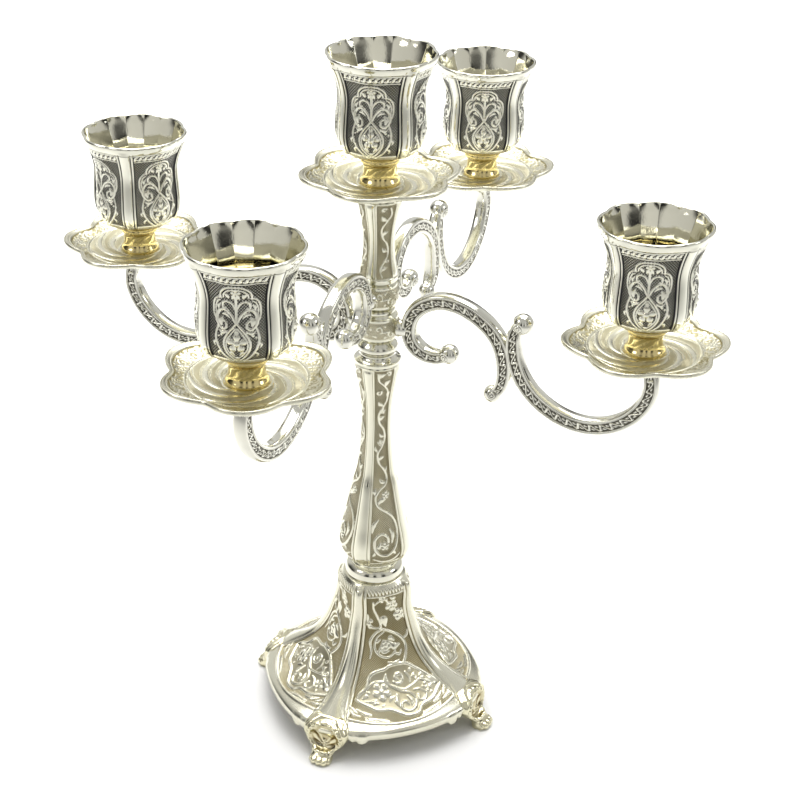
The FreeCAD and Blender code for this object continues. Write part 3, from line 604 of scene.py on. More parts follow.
# ------------------------------------------------------------ drip pan
def pan_mesh():
    nu, lob = 480, 6
    th = np.arange(nu) * 2 * pi / nu
    k = (np.sqrt(np.cos(3 * th) ** 2 + 0.05) - math.sqrt(0.05)) / (math.sqrt(1.05) - math.sqrt(0.05))
    outer = spline([(2.3, 0.0), (12.5, 0.0), (24.0, 1.0), (34.6, 3.2), (40.2, 5.1)], 70)
    outer_d = spline([(2.3, 0.0), (12.5, 0.0), (23.6, 1.0), (31.0, 3.1), (34.0, 5.1)], 70)
    top = spline([(40.5, 7.3), (39.6, 7.1), (37.2, 5.9), (33.6, 4.4), (28.0, 3.0), (22.0, 2.2), (12.5, 1.5), (9.0, 1.5), (2.3, 1.5)], 150)
    top_d = spline([(34.3, 7.3), (33.8, 7.1), (32.4, 6.0), (30.3, 4.6), (26.6, 3.1), (21.6, 2.2), (12.5, 1.5), (9.0, 1.5), (2.3, 1.5)], 150)
    mix = lambda A, B: (B[:, :1] + (A[:, :1] - B[:, :1]) * k[None], B[:, 1:] + (A[:, 1:] - B[:, 1:]) * k[None])
    R0, Z0 = mix(outer, outer_d)
    R2, Z2 = mix(top, top_d)
    Z0 = Z0 + 1.0 * (k - 0.5)[None] * smooth(22, 37, R0)
    Z2 = Z2 + 1.0 * (k - 0.5)[None] * smooth(22, 37, R2)
    # rolled rim with a turned-down edge
    Rl, Zl = [], []
    for a in np.linspace(-100, 95, 12):
        a = math.radians(a)
        Rl.append(34.2 + 6.2 * k + 0.95 * math.cos(a))
        Zl.append(6.2 + 1.25 * math.sin(a) + 1.0 * (k - 0.5))
    Rl, Zl = np.stack(Rl), np.stack(Zl)
    T2 = np.broadcast_to(th, R2.shape)
    edge = R2[0][None] - R2                              # distance in from the rim
    rn = R2
    H = np.zeros_like(R2)
    cav = np.zeros_like(R2)
    hat = np.zeros_like(R2)
    # swirl of narrow crescents
    nb = 6
    turnr = np.clip((rn - 11.4) / 16.0, 0, 1)
    ph = (T2 * nb / (2 * pi) + 2.2 * turnr ** 0.9) % 1.0
    swz = smooth(11.6, 12.4, rn) * (1 - smooth(26.6, 27.6, rn))
    wd = 0.06 + 0.17 * np.sin(pi * np.clip(turnr, 0.03, 0.97)) ** 0.7
    blade = np.sqrt(np.clip(1 - ((ph - 0.5) / wd) ** 2, 0, 1))
    line = np.sqrt(np.clip(1 - ((np.abs(ph - 0.5) - wd - 0.10) / 0.026) ** 2, 0, 1))
    H += swz * (0.5 * blade + 0.2 * line)
    band = swz * (1 - smooth(0.02, 0.3, blade + line))
    # painted shade in the sunk ground between the crescents
    cav += band * 0.5
    hat += band
    ringl = np.sqrt(np.clip(1 - ((rn - 28.0) / 0.5) ** 2, 0, 1))
    H += 0.4 * ringl
    # outer engraved zone, made from one lobe and mirrored round
    phi = (np.degrees(T2) + 30) % 60 - 30
    X = np.radians(phi) * 32.0
    Y = 38.0 - edge * (38.0 - 28.0) / np.maximum(R2[0][None] - 28.0, 1.0)
    one = [spiral(4.6, 31.2, 2.6, 0.5, 200, -250, [0.42, 0.3], 0.42), spiral(11.4, 31.0, 2.3, 0.5, 20, 430, [0.4, 0.3], 0.42),
           ([(0, 29.4), (2.2, 28.9), (6, 29.2), (9, 33.3), (13, 33.6), (16.6, 30.6)], [0.3, 0.42, 0.3], 0.4),
           leaf(7.6, 33.2, 9.4, 34.9, 0.7), leaf(2.0, 33.0, 3.8, 34.7, 0.7), leaf(8.2, 29.6, 9.4, 28.4, 0.55), leaf(14.4, 29.6, 15.6, 28.4, 0.55),
           ([(14.6, 33.2), (15.6, 34.0)], [0.5, 0.2], 0.35),
           spiral(8.0, 31.2, 1.5, 0.4, 90, 380, [0.36, 0.28], 0.4), spiral(1.6, 30.6, 1.2, 0.4, 270, -20, [0.34, 0.26], 0.38),
           ([(4.6, 34.3), (6.2, 33.9), (7.4, 34.5)], [0.3, 0.5, 0.25], 0.38), ([(11.6, 34.3), (13.0, 34.6)], [0.5, 0.25], 0.38),
           ([(5.4, 28.9), (6.6, 29.8)], [0.45, 0.2], 0.36), ([(10.8, 28.9), (12.2, 29.4)], [0.45, 0.2], 0.36)]
    S = mirror(one) + flower(0, 32.3, 2.1, 6, 0.45, pi / 2)
    h = relief(X, Y, [(p, [1.15 * v for v in np.atleast_1d(w)], 0.62 * hh) for p, w, hh in S])
    zone = smooth(28.4, 28.8, Y) * (1 - smooth(35.0, 35.4, Y))
    H += h * zone
    # painted shade in the engraved zone's sunk ground
    cav += zone * (1 - smooth(0.04, 0.2, h)) * 1.05
    hat += zone * (1 - smooth(0.04, 0.2, h)) * 0.4
    bead = np.sqrt(np.clip(1 - ((Y - 35.7) / 0.45) ** 2, 0, 1))
    H += 0.35 * bead
    # painted shadow lines on either side of the bead
    cav += 0.7 * np.exp(-((Y - 35.15) / 0.25) ** 2) + 0.5 * np.exp(-((Y - 36.3) / 0.3) ** 2)
    inner_ring = np.sqrt(np.clip(1 - ((rn - 11.2) / 0.6) ** 2, 0, 1))
    H += 0.3 * inner_ring
    P2 = np.stack([R2 * np.cos(th), R2 * np.sin(th), Z2 + H], -1)
    P0 = np.stack([R0 * np.cos(th), R0 * np.sin(th), Z0 + 0 * R0], -1)
    Pl = np.stack([Rl * np.cos(th), Rl * np.sin(th), Zl], -1)
    allP = np.concatenate([P0, Pl, P2])
    allP[..., 2] -= 1.5
    pad = lambda a: np.concatenate([np.zeros((len(P0) + len(Pl), nu)), a])
    U = np.broadcast_to(np.arange(nu + 1) / nu * 200.0, (len(allP), nu + 1))
    rr = np.hypot(allP[:, :, 0], allP[:, :, 1]).mean(1)[:, None]
    V = np.broadcast_to(rr, (len(allP), nu))
    s = Soup()
    s.add(allP, wrap_u=True, wrap_v=True, cav=pad(np.clip(cav, 0, 1.3)), hat=pad(np.clip(hat, 0, 1)), U=U, V=V)
    return s.mesh("drip_pan", MAT_PAN)


# ------------------------------------------------------------ scroll arms
INNER_LINE = [
    (40.6, -9.0), (36.6, -11.0), (31.6, -11.8), (26.2, -10.9), (21.4, -7.6),
    (18.6, -1.8), (18.7, 5.0), (21.4, 11.4), (26.8, 16.6), (33.8, 19.7),
    (41.4, 20.3), (49.3, 18.6), (56.7, 15.0), (63.0, 10.2), (67.6, 4.1),
    (70.3, -2.9), (71.3, -10.3), (70.8, -17.1), (68.4, -23.0), (65.0, -26.2)]
OUTER_LINE = [
    (79.6, 16.4), (77.0, 13.6), (75.7, 9.6), (75.6, 3.0), (77.4, -5.6),
    (81.2, -14.1), (87.1, -21.3), (95.0, -27.0), (104.1, -30.8),
    (113.7, -32.2), (123.1, -31.0), (132.2, -27.0), (140.3, -20.2),
    (145.4, -12.6), (147.7, -5.2), (147.4, 1.6), (145.2, 7.0)]
BAR_W, BAR_T = 9.0, 7.2


def scroll(soup, line, width, phase=0.0):
    n = 400 if len(line) > 18 else 380
    q = spline(line, n)
    d = np.gradient(q, axis=0)
    d /= np.linalg.norm(d, axis=1, keepdims=True)
    nrm = np.stack([-d[:, 1], d[:, 0]], -1)
    t = np.linspace(0, 1, n)
    arc = np.concatenate([[0], np.cumsum(np.linalg.norm(np.diff(q, axis=0), axis=1))])
    w = width(t) / 2
    # section round the bar: (a across the width -1..1, b across the thickness -1..1)
    m_flat, m_edge = 46, 20
    sec = []
    for side in (1, -1):
        a = np.linspace(-0.62, 0.62, m_flat) * side
        sec += [(x, side * 1.0, 1) for x in a]
        ang = np.linspace(0, 180, m_edge + 2)[1:-1]
        for g in ang:
            g = math.radians(g)
            sec.append((side * (0.62 + 0.38 * math.sin(g) ** 0.9), side * np.sign(math.cos(g)) * abs(math.cos(g)) ** 0.85, 0))
    sec = np.array(sec)
    nu = len(sec)
    A = np.broadcast_to(sec[:, 0], (n, nu))
    B = np.broadcast_to(sec[:, 1], (n, nu)).copy()
    flat = np.broadcast_to(sec[:, 2], (n, nu))
    half = w[:, None]
    a_mm = A * half
    S = arc[:, None]
    # a sunk channel down the middle of each side, with a running wave standing in it
    hw = half * 0.50
    rec = smooth(1.0, 0.90, np.abs(a_mm) / np.maximum(hw, 1e-3)) * (flat > 0)
    endf = smooth(1.0, 6.0, S) * smooth(1.0, 6.0, arc[-1] - S)
    pitch = 6.0
    slant = S + 0.75 * a_mm
    ph = (slant / pitch + phase) * 2 * pi
    amp = hw * 0.62
    dist = np.abs(a_mm - amp * np.sin(ph)) / np.sqrt(1 + (amp * 2 * pi / pitch * np.cos(ph)) ** 2)
    wave = np.sqrt(np.clip(1 - (dist / 0.52) ** 2, 0, 1))
    # a leaf bud in each bend
    bud = np.zeros_like(a_mm)
    for sgn_ in (1.0, -1.0):
        c = (np.round(slant / pitch + phase - 0.25 * sgn_) + 0.25 * sgn_ - phase) * pitch
        dd = ((slant - c) / 0.95) ** 2 + ((a_mm + sgn_ * hw * 0.32) / 0.62) ** 2
        bud = np.maximum(bud, 0.85 * np.sqrt(np.clip(1 - dd, 0, 1)))
    rel = np.maximum(wave, bud) * endf
    line = np.exp(-((np.abs(a_mm) - hw * 1.17) / 0.17) ** 2) * (flat > 0) * endf
    H = -0.66 * rec * endf + 0.62 * rel * rec - 0.14 * line
    hb = BAR_T / 2
    taper = np.clip(0.72 + 0.28 * smooth(0, 10, S) * smooth(0, 10, arc[-1] - S), 0, 1)
    bz = B * (hb * taper) + np.sign(B) * np.where(flat > 0, H, 0)
    x = q[:, :1] + nrm[:, :1] * a_mm
    z = q[:, 1:] + nrm[:, 1:] * a_mm
    P = np.stack([x, bz, z], -1)
    # painted shade in the sunk channel, lighter on the wave and buds, and a painted shadow line along each channel edge
    cav = np.clip(rec * endf * (1 - smooth(0.10, 0.62, rel)) * 1.0 + 0.75 * line, 0, 1)
    soup.add(P, wrap_u=True, wrap_v=False, cap0=True, cap1=True, cav=cav, hat=0, U=None, V=None)
    return q, d


def ball(soup, x, z, r, toward, eye=True, nu=96, nv=56, gold=0.0):
    """Terminal ball with a ring on each flat side; toward points to the bar."""
    ph = np.linspace(0.02, pi - 0.02, nv)[:, None]
    th = np.arange(nu)[None] * 2 * pi / nu
    # pole along Y
    sx = np.sin(ph) * np.cos(th)
    sz = np.sin(ph) * np.sin(th)
    sy = np.cos(ph) * np.ones_like(th)
    # a small ringed eye on each side, set off towards the bar
    dx = sx * r - toward[0] * r * 0.30
    dz = sz * r - toward[1] * r * 0.30
    d = np.hypot(dx, dz)
    side = np.abs(sy) > 0.3
    groove = np.exp(-((d - 0.40 * r) / 0.26) ** 2) * side
    pit = np.exp(-((d - 0.17 * r) / 0.22) ** 2) * side
    ring = np.exp(-((d - 0.29 * r) / 0.20) ** 2) * side
    H = (-0.26 * groove - 0.30 * pit + 0.06 * ring) if eye else 0 * groove
    R = r + H
    P = np.stack([x + sx * R, sy * R * 0.97, z + sz * R], -1)
    # painted shade in the eye's groove and pit
    soup.add(P, wrap_u=True, cap0=True, cap1=True, cav=np.clip(0.8 * groove + pit, 0, 1) * (1.0 if eye else 0.0))


def inner_arm_mesh(kind):
    s = Soup()
    w_in = lambda t: BAR_W - 2.6 * np.maximum(0, 1 - t / 0.14) - 3.4 * np.maximum(0, (t - 0.86) / 0.14)
    q, d = scroll(s, INNER_LINE, w_in)
    ball(s, *INNER_LINE[0], 5.4, (d[0][0], d[0][1]))
    ball(s, *INNER_LINE[-1], 4.7, (-d[-1][0], -d[-1][1]))
    # spigot with a collar where it enters the hub
    hub_r = 11.6 if kind == "lower" else 10.9
    th = np.arange(64) * 2 * pi / 64
    prof = [(hub_r - 4.1, 3.5), (hub_r - 0.3, 3.5), (hub_r - 0.3, 4.3), (hub_r + 0.9, 4.8), (hub_r + 1.7, 4.3), (17.0, 3.9)]
    P = np.stack([np.stack([np.full(64, a), r * np.cos(th), r * np.sin(th)], -1) for a, r in prof])
    s.add(P, wrap_u=True, cap0=True, cap1=True)
    return s.mesh("inner_scroll_" + kind, MAT_ARM)


def outer_arm_mesh():
    s = Soup()
    w_out = lambda t: BAR_W - 2.4 * np.maximum(0, 1 - t / 0.12) - 1.6 * np.maximum(0, (t - 0.9) / 0.1)
    q, d = scroll(s, OUTER_LINE, w_out, phase=0.25)
    ball(s, *OUTER_LINE[0], 5.6, (d[0][0], d[0][1]))
    return s.mesh("outer_scroll", MAT_ARM)


# ------------------------------------------------------------ base
BASE = [(14.0, 59.6, 63.4), (17.2, 60.0, 63.8), (20.0, 56.0, 60.0), (24.0, 48.5, 53.0),
        (30.0, 39.6, 43.6), (38.0, 31.0, 35.6), (48.0, 24.6, 29.6), (60.0, 20.8, 25.2),
        (72.0, 19.0, 22.4), (83.0, 18.6, 20.8), (86.0, 16.6, 18.4)]
CARTOUCHE = [(-25.2, 66.5), (-22.2, 63.0), (-17.2, 59.2), (-14.3, 53.4), (-10.1, 50.9), (-4.6, 50.0),
             (-0.2, 48.6), (8.0, 49.1), (12.9, 52.3), (17.7, 56.3), (22.7, 61.1), (28.8, 66.7),
             (24.1, 69.7), (19.0, 72.5), (11.5, 73.9), (8.2, 77.4), (1.7, 77.8), (-3.5, 75.0),
             (-7.8, 72.6), (-14.7, 72.0), (-18.2, 70.1), (-21.8, 68.4), (-25.2, 66.5)]


def inside_poly(X, Y, poly):
    c = np.zeros(X.shape, bool)
    for (x0, y0), (x1, y1) in zip(poly[:-1], poly[1:]):
        hit = (y0 > Y) != (y1 > Y)
        c ^= hit & (X < (x1 - x0) * (Y - y0) / (y1 - y0 + 1e-9) + x0)
    return c


def base_strokes():
    S = [(CARTOUCHE, 0.75, 0.62)]
    S += flower(-9.4, 62.3, 4.6, 5, 0.6, 0.4)
    S += [([(-17.6, 60.6), (-13.2, 57.0), (-8.0, 56.6), (-3.1, 59.6), (3.3, 62.9), (9.0, 61.9), (14.6, 59.9)], [0.35, 0.6, 0.45], 0.5),
          ([(-18.6, 64.0), (-21.4, 65.6)], [0.9, 0.3], 0.5), ([(-16.9, 62.4), (-19.4, 61.6)], [0.6, 0.25], 0.45),
          spiral(1.9, 55.9, 3.6, 0.9, 150, -250, [0.5, 0.85, 0.6], 0.55),
          ([(-4.6, 53.0), (-5.4, 56.2), (-3.4, 59.0)], [0.35, 1.1, 0.35], 0.6),
          ([(6.9, 53.9), (8.6, 57.0), (8.2, 60.6)], [0.5, 0.6, 0.35], 0.5),
          leaf(8.6, 54.2, 10.6, 51.6, 0.9), leaf(9.8, 57.4, 12.6, 55.4, 0.9), leaf(11.4, 60.4, 13.0, 57.6, 0.8),
          spiral(16.6, 59.2, 1.9, 0.6, -160, 130, 0.5, 0.55), spiral(17.2, 64.0, 1.9, 0.6, 160, -130, 0.5, 0.55),
          ([(14.6, 60.2), (18.4, 62.0), (21.6, 63.4)], [0.4, 0.7, 0.5], 0.5),
          ([(20.4, 63.0), (24.2, 64.6), (26.4, 66.4)], [0.9, 1.7, 0.4], 0.55),
          ([(20.8, 61.0), (22.6, 62.6)], [0.9, 0.5], 0.5), ([(20.0, 66.2), (22.2, 65.4)], [0.9, 0.5], 0.5),
          ([(-3.0, 60.0), (1.6, 63.4), (6.4, 65.4), (9.0, 69.4), (7.6, 73.6), (3.6, 75.6), (0.0, 73.6), (0.2, 70.4), (2.8, 69.8), (3.9, 71.6)], [0.45, 0.7, 0.5], 0.55),
          ([(-1.2, 65.0), (-2.2, 69.0), (-1.4, 72.4)], [0.5, 1.1, 0.35], 0.55), leaf(-2.8, 66.0, -6.4, 68.6, 0.9),
          ([(4.6, 67.0), (6.4, 70.0), (5.6, 72.4)], [0.4, 1.0, 0.4], 0.5),
          ([(9.6, 64.6), (13.4, 65.4), (16.4, 68.8), (14.0, 71.6), (11.0, 70.6), (11.4, 68.2)], [0.4, 0.6, 0.5], 0.5),
          leaf(-12.8, 68.6, -16.6, 69.6, 0.8), leaf(-9.6, 69.4, -10.4, 71.6, 0.7),
          ([(18.0, 67.6)], 0.8, 0.5), ([(20.4, 69.2)], 0.6, 0.4), ([(-14.0, 67.0), (-18.0, 67.4), (-20.6, 66.9)], [0.7, 0.5, 0.25], 0.4)]
    # vine above the cartouche
    S += [([(-7.6, 10.4), (-7.2, 14.9), (-5.2, 19.5), (-3.4, 24.1), (-3.4, 27.0), (1.5, 29.5), (7.3, 33.5), (10.5, 38.4), (10.2, 43.4), (7.6, 48.5)], [0.35, 0.5, 0.5], 0.5),
          ([(-2.8, 27.6), (-7.0, 29.4), (-10.4, 33.6), (-10.4, 38.6), (-11.8, 43.0)], [0.45, 0.5, 0.25], 0.46),
          ([(-2.0, 29.4), (-6.6, 32.4), (-8.2, 37.6), (-6.0, 42.0), (-1.6, 44.0), (2.6, 42.4), (4.4, 38.8)], [0.3, 0.42, 0.3], 0.36),
          ([(-5.4, 38.4), (-3.2, 41.0), (0.0, 40.6)], [0.35, 0.5, 0.3], 0.42),
          ([(0.8, 36.0), (3.2, 38.4), (6.4, 38.0)], [0.5, 1.1, 0.4], 0.5), ([(1.6, 33.4), (3.4, 35.0)], [0.8, 0.4], 0.48),
          ([(-4.6, 21.6), (-1.6, 22.2), (-0.6, 26.0)], [0.35, 1.3, 0.3], 0.5),
          ([(-4.4, 26.6), (-8.0, 26.0), (-10.6, 24.4)], [0.3, 0.42, 0.5], 0.45)]
    S += flower(-10.4, 23.4, 2.3, 3, 0.5, 1.2)
    S += flower(-1.6, 37.2, 2.5, 5, 0.42, 0.5)
    S += [([(-6.4, 34.4), (-4.6, 33.4)], [0.6, 0.3], 0.42), ([(-6.8, 40.4), (-5.0, 39.2)], [0.6, 0.3], 0.42), ([(2.8, 42.0), (5.6, 43.4), (7.2, 41.6)], [0.35, 0.5, 0.3], 0.42),
          ([(5.0, 46.6), (1.8, 47.6), (-1.6, 46.8)], [0.3, 0.5, 0.3], 0.4), ([(9.6, 35.2), (12.4, 34.0), (13.0, 31.6)], [0.35, 0.55, 0.3], 0.42)]
    S += flower(-1.8, 8.9, 2.2, 4, 0.45, 0.4) + flower(3.4, 14.2, 3.1, 5, 0.5, 0.2) + flower(8.0, 20.4, 2.9, 5, 0.5, 0.6)
    S += [([(-7.0, 12.4), (-4.6, 10.2), (-2.4, 9.6)], [0.35, 0.5, 0.3], 0.4), ([(0.0, 10.6), (2.2, 12.4)], 0.45, 0.4),
          ([(5.0, 16.4), (6.6, 18.4)], 0.45, 0.4), leaf(2.2, 8.6, 5.8, 9.2, 0.9)]
    # small leaves outside the cartouche, in the lower corners
    for sx in (-1, 1):
        S += [([(sx * 26.5, 71.5), (sx * 23.0, 73.6), (sx * 18.8, 74.6)], [0.4, 1.0, 0.4], 0.45),
              ([(sx * 30.4, 70.0), (sx * 27.2, 73.2)], [0.9, 0.5], 0.45), ([(sx * 29.6, 74.4), (sx * 26.0, 75.2)], [0.7, 0.4], 0.4),
              ([(sx * 22.0, 76.4), (sx * 15.0, 77.9), (sx * 9.0, 80.1)], [0.35, 0.6, 0.3], 0.4),
              spiral(sx * 31.8, 73.6, 1.7, 0.5, 0, sx * 260, 0.5, 0.5)]
        for k in range(9):
            x = sx * (10.5 + k * 1.5)
            S.append(([(x, 79.6 - 0.22 * k), (x + sx * 0.7, 77.5 - 0.22 * k)], [0.42, 0.2], 0.34))
    for k in range(-5, 6):                          # leaf band under the collar
        S.append(([(k * 2.05, 3.0), (k * 2.05 + 0.5, 5.6)], [0.8, 0.45], 0.42))
    S.append(([(-13, 6.9), (0, 6.9), (13, 6.9)], 0.4, 0.4))
    return S


def base_mesh():
    q = 210
    nu, nv = 4 * q, 250
    pr = np.array(BASE)[::-1]
    prof = spline(pr, nv)
    z = prof[:, 0][:, None]
    arc = np.concatenate([[0], np.cumsum(np.hypot(*np.diff(prof[:, :2], axis=0).T))])
    arc = (arc * 90.1 / arc[-1])[:, None]
    th = np.arange(nu) * 2 * pi / nu
    T = np.broadcast_to(th, (nv, nu))
    c2 = np.cos(2 * T) ** 2
    rf, rd = prof[:, 1][:, None], prof[:, 2][:, None]
    # the face swells a little between the ribs, and each rib stands proud of it
    low = smooth(66, 84, arc)
    share = 0.55 + 0.45 * low
    R = rf + (rd - rf) * share * c2
    phi = (np.degrees(T)) % 90 - 45
    ridge = np.radians(45 - np.abs(phi)) * R
    hw = np.interp(arc, [0, 8, 40, 60, 72, 80, 90], [2.3, 2.5, 3.5, 4.8, 6.6, 9.2, 11.5])
    x = ridge / hw
    ribz = smooth(0.6, 3.8, arc) * (1 - smooth(79.5, 85.0, arc))
    bulge = (rd - rf) * (1 - share)
    rib = (bulge * 0.92 + 0.5) * np.sqrt(np.clip(1 - x ** 2, 0, 1)) ** 1.2
    bead = 0.62 * np.sqrt(np.clip(1 - ((ridge - hw - 1.0) / 0.62) ** 2, 0, 1))
    rib_h = np.maximum(rib, 0) * ribz + bead * ribz * smooth(5.0, 9.0, arc)
    sideways = 1 - smooth(12.0, 30.0, arc)
    R = R + sideways * rib_h
    rib_h = (1 - sideways) * rib_h
    P = np.stack([R * np.cos(T), R * np.sin(T), np.broadcast_to(z, R.shape)], -1)
    X = np.radians(phi[:, :q]) * R[:, :q]
    Y = np.broadcast_to(arc, (nv, nu))[:, :q]
    bold = lambda p: 1.9 if 21.0 < np.mean([b for a_, b in p]) < 48.0 else (1.5 if 8.0 < np.mean([b for a_, b in p]) <= 21.0 else 1.28)
    h1 = relief(X, Y, [(p, [bold(p) * v for v in np.atleast_1d(w)], (1.2 if bold(p) < 1.4 else 1.45) * hh) for p, w, hh in base_strokes()])
    h = np.tile(h1, (1, 4))
    cart = np.tile(inside_poly(X, Y, CARTOUCHE), (1, 4))
    Yf = np.broadcast_to(arc, (nv, nu))
    bot = 75.6 + 5.0 * np.cos(np.radians(phi) * 2.0) ** 2
    inside = smooth(hw + 1.9, hw + 2.4, ridge) * smooth(2.2, 2.8, Yf) * (1 - smooth(bot, bot + 0.8, Yf))
    border = 0.55 * np.sqrt(np.clip(1 - ((Yf - bot - 1.0) / 0.9) ** 2, 0, 1)) * (ridge > hw + 1.2)
    ground = inside * (1 - smooth(0.05, 0.28, h))
    H = -0.45 * inside + h * (inside > 0.02) + border + rib_h
    sgn = 1.0 if np.hypot(*displaced(P, np.ones_like(H))[120, 0, :2]) > np.hypot(*P[120, 0, :2]) else -1.0
    Pd = displaced(P, H, out=sgn)
    # curls on the edge of the skirt beside each foot
    a = np.abs(np.degrees(T) % 90 - 45)
    b = 45 - a
    curl = np.exp(-((b - 19.0) / 2.7) ** 4) + 0.6 * np.exp(-((b - 14.2) / 1.5) ** 2)
    near = smooth(84.0, 90.0, Yf)
    Pd[..., 2] -= 2.5 * np.clip(curl, 0, 1) * near
    Pd[..., :2] *= (1 + 0.006 * np.clip(curl, 0, 1) * near)[..., None]
    scal = 0.8 * np.cos(np.radians(phi) * 2) ** 2 - 0.35
    Pd[..., 2] -= scal * near
    lipgroove = np.exp(-((Yf - 86.0) / 0.5) ** 2) * 0.4
    # painted shade in the sunk ground, stronger in the cartouche, and darker on the ground's upper part as painted
    # reflection; painted dark reflection streaks along each rib's edge and beside its bead; a painted shadow line below
    # the border
    cav = np.clip(ground * np.where(cart, 0.95, 0.85) + 1.6 * ribz * np.exp(-((ridge - hw - 0.10) / 0.34) ** 2) * (1 - 0.45 * smooth(52, 74, Yf))
                  + 0.9 * ribz * np.exp(-((ridge - hw - 2.1) / 0.35) ** 2) + 0.22 * ground * (1 - smooth(40, 62, Yf))
                  + 0.4 * np.exp(-((Yf - bot - 2.1) / 0.4) ** 2), 0, 1.75)
    hat = ground * np.where(cart, 0.12, 1.0)
    # underside and hollow
    last = Pd[-1]
    rl = np.hypot(last[:, 0], last[:, 1])
    under = []
    for dr, dz in ((-0.5, -0.5), (-1.2, -0.6), (-1.7, 0.2)):
        k = (rl + dr) / rl
        under.append(np.stack([last[:, 0] * k, last[:, 1] * k, last[:, 2] + dz], -1))
    hol = spline([(17.0, 55.4, 58.6), (21.8, 46.9, 51.4), (27.8, 38.0, 42.0), (35.8, 29.4, 34.0), (45.8, 23.0, 28.0),
                  (57.8, 19.2, 23.6), (69.8, 17.4, 20.8), (80.8, 15.6, 17.8)], 60)
    hz = hol[:, 0][:, None]
    Rh = hol[:, 1][:, None] + (hol[:, 2] - hol[:, 1])[:, None] * np.cos(2 * th)[None] ** 2
    hollow = np.stack([Rh * np.cos(th), Rh * np.sin(th), hz + 0 * Rh], -1)
    ring = lambda r, zz: np.stack([r * np.cos(th), r * np.sin(th), np.full(nu, zz)], -1)[None]
    allP = np.concatenate([ring(3.6, 86.0), ring(12.0, 86.0), Pd, np.stack(under), hollow, ring(8.0, 80.8), ring(3.6, 80.8)])
    n0, n1 = 2, len(allP) - 2 - nv
    pad = lambda m: np.concatenate([np.zeros((n0, nu)), m, np.zeros((n1, nu))])
    # pattern coordinates in millimetres, per sector
    U = np.zeros((len(allP), nu + 1))
    Rm = np.concatenate([np.full(n0, 16.0), R.mean(1), np.full(n1, 50.0)])[:, None]
    side = (np.arange(nu + 1) * 360.0 / nu) % 90 - 45
    U[:] = np.radians(side)[None] * Rm
    V = np.concatenate([np.full(n0, 0.0), arc[:, 0], np.full(n1, 95.0)])[:, None] * np.ones((1, nu))
    s = Soup()
    s.add(allP, wrap_u=True, wrap_v=True, cav=pad(cav), hat=pad(hat), U=U, V=V)
    return s.mesh("base", MAT_BASE)


def feet_mesh():
    s = Soup()
    nu, nv = 132, 120
    zz = np.linspace(22.5, 0.0, nv)
    xo = np.interp(zz, [0, 1.2, 2.6, 4, 6, 8, 12, 17, 20, 22.5], [71.2, 73.0, 73.2, 71.2, 67.6, 66.2, 66.0, 65.6, 63.4, 58.0])
    xi = np.interp(zz, [0, 4, 8, 12, 17, 22.5], [63.2, 62.6, 60.2, 57.6, 56.2, 54.0])
    hb = np.interp(zz, [0, 2, 4, 7, 10, 14, 18, 20.5, 22.5], [5.7, 6.2, 5.7, 7.2, 10.9, 13.3, 13.5, 11.8, 8.0])
    ker = np.hanning(9)
    ker /= ker.sum()
    sm = lambda a: np.convolve(np.pad(a, 4, mode="edge"), ker, mode="valid")
    xo, xi, hb = sm(xo), sm(xi), sm(hb)
    th = np.arange(nu) * 2 * pi / nu
    ct, st = np.cos(th), np.sin(th)
    e = 2 / 2.5
    cx = np.sign(ct) * np.abs(ct) ** e
    sy = np.sign(st) * np.abs(st) ** e
    X = (xo + xi)[:, None] / 2 + (xo - xi)[:, None] / 2 * cx[None]
    Yt = hb[:, None] * sy[None]
    Z = np.broadcast_to(zz[:, None], X.shape).copy()
    front = smooth(0.15, 0.5, ct)[None]
    ex, ez = Yt / 8.5, (Z - 13.2) / 6.7
    ee = np.sqrt(ex ** 2 + ez ** 2)
    ang = np.arctan2(Yt, Z - 8.0)
    dish = -3.4 * np.clip(1 - ee ** 2, 0, 1) ** 0.6 * front
    flut = 0.42 * np.abs(np.cos(ang * 6.5)) * smooth(1.0, 0.75, ee) * smooth(0.12, 0.4, ee) * front
    ang2 = np.arctan2(ex, ez)
    beads = 0.75 * np.sqrt(np.clip(1 - ((ee - 1.16) / 0.13) ** 2, 0, 1)) * (0.45 + 0.55 * np.abs(np.cos(ang2 * 11))) * front * (Z > 5.4)
    edge = 0.55 * np.sqrt(np.clip(1 - ((ee - 1.46) / 0.12) ** 2, 0, 1)) * front * (Z > 7)
    toes = 0.85 * np.abs(np.cos(pi * Yt / 3.2)) ** 0.7 * smooth(4.6, 3.0, Z) * front
    claw = 0.7 * np.exp(-((Z - 5.6) / 0.9) ** 2) * front
    H = dish + flut + beads + edge + toes + claw
    P = np.stack([X, Yt, Z], -1)
    test = displaced(P, np.ones_like(X))
    sgn = 1.0 if test[60, 0, 0] > P[60, 0, 0] else -1.0
    P = displaced(P, H, out=sgn)
    P[..., 2] = np.clip(P[..., 2], 0.0, 24.0)
    # painted shade in the dish, between its flutes, in the grooves by the beads and between the toes
    cav = np.clip(0.9 * smooth(1.06, 0.86, ee) * front * (1 - 0.6 * (flut > 0.3)) + 0.8 * smooth(1.0, 0.7, ee) * front * smooth(0.25, 0.6, np.abs(ex)) * (flut < 0.2)
                  + 0.6 * front * np.exp(-((ee - 1.03) / 0.045) ** 2) + 0.5 * front * np.exp(-((ee - 1.31) / 0.04) ** 2)
                  + 0.8 * smooth(4.6, 3.4, Z) * front * (toes < 0.25), 0, 1.6)
    for k in range(4):
        c, d = math.cos(k * pi / 2), math.sin(k * pi / 2)
        Q = np.stack([P[..., 0] * c - P[..., 1] * d, P[..., 0] * d + P[..., 1] * c, P[..., 2]], -1)
        s.add(Q, wrap_u=True, cap0=True, cap1=True, cav=cav)
    return s.mesh("paw_feet", MAT_FOOT)


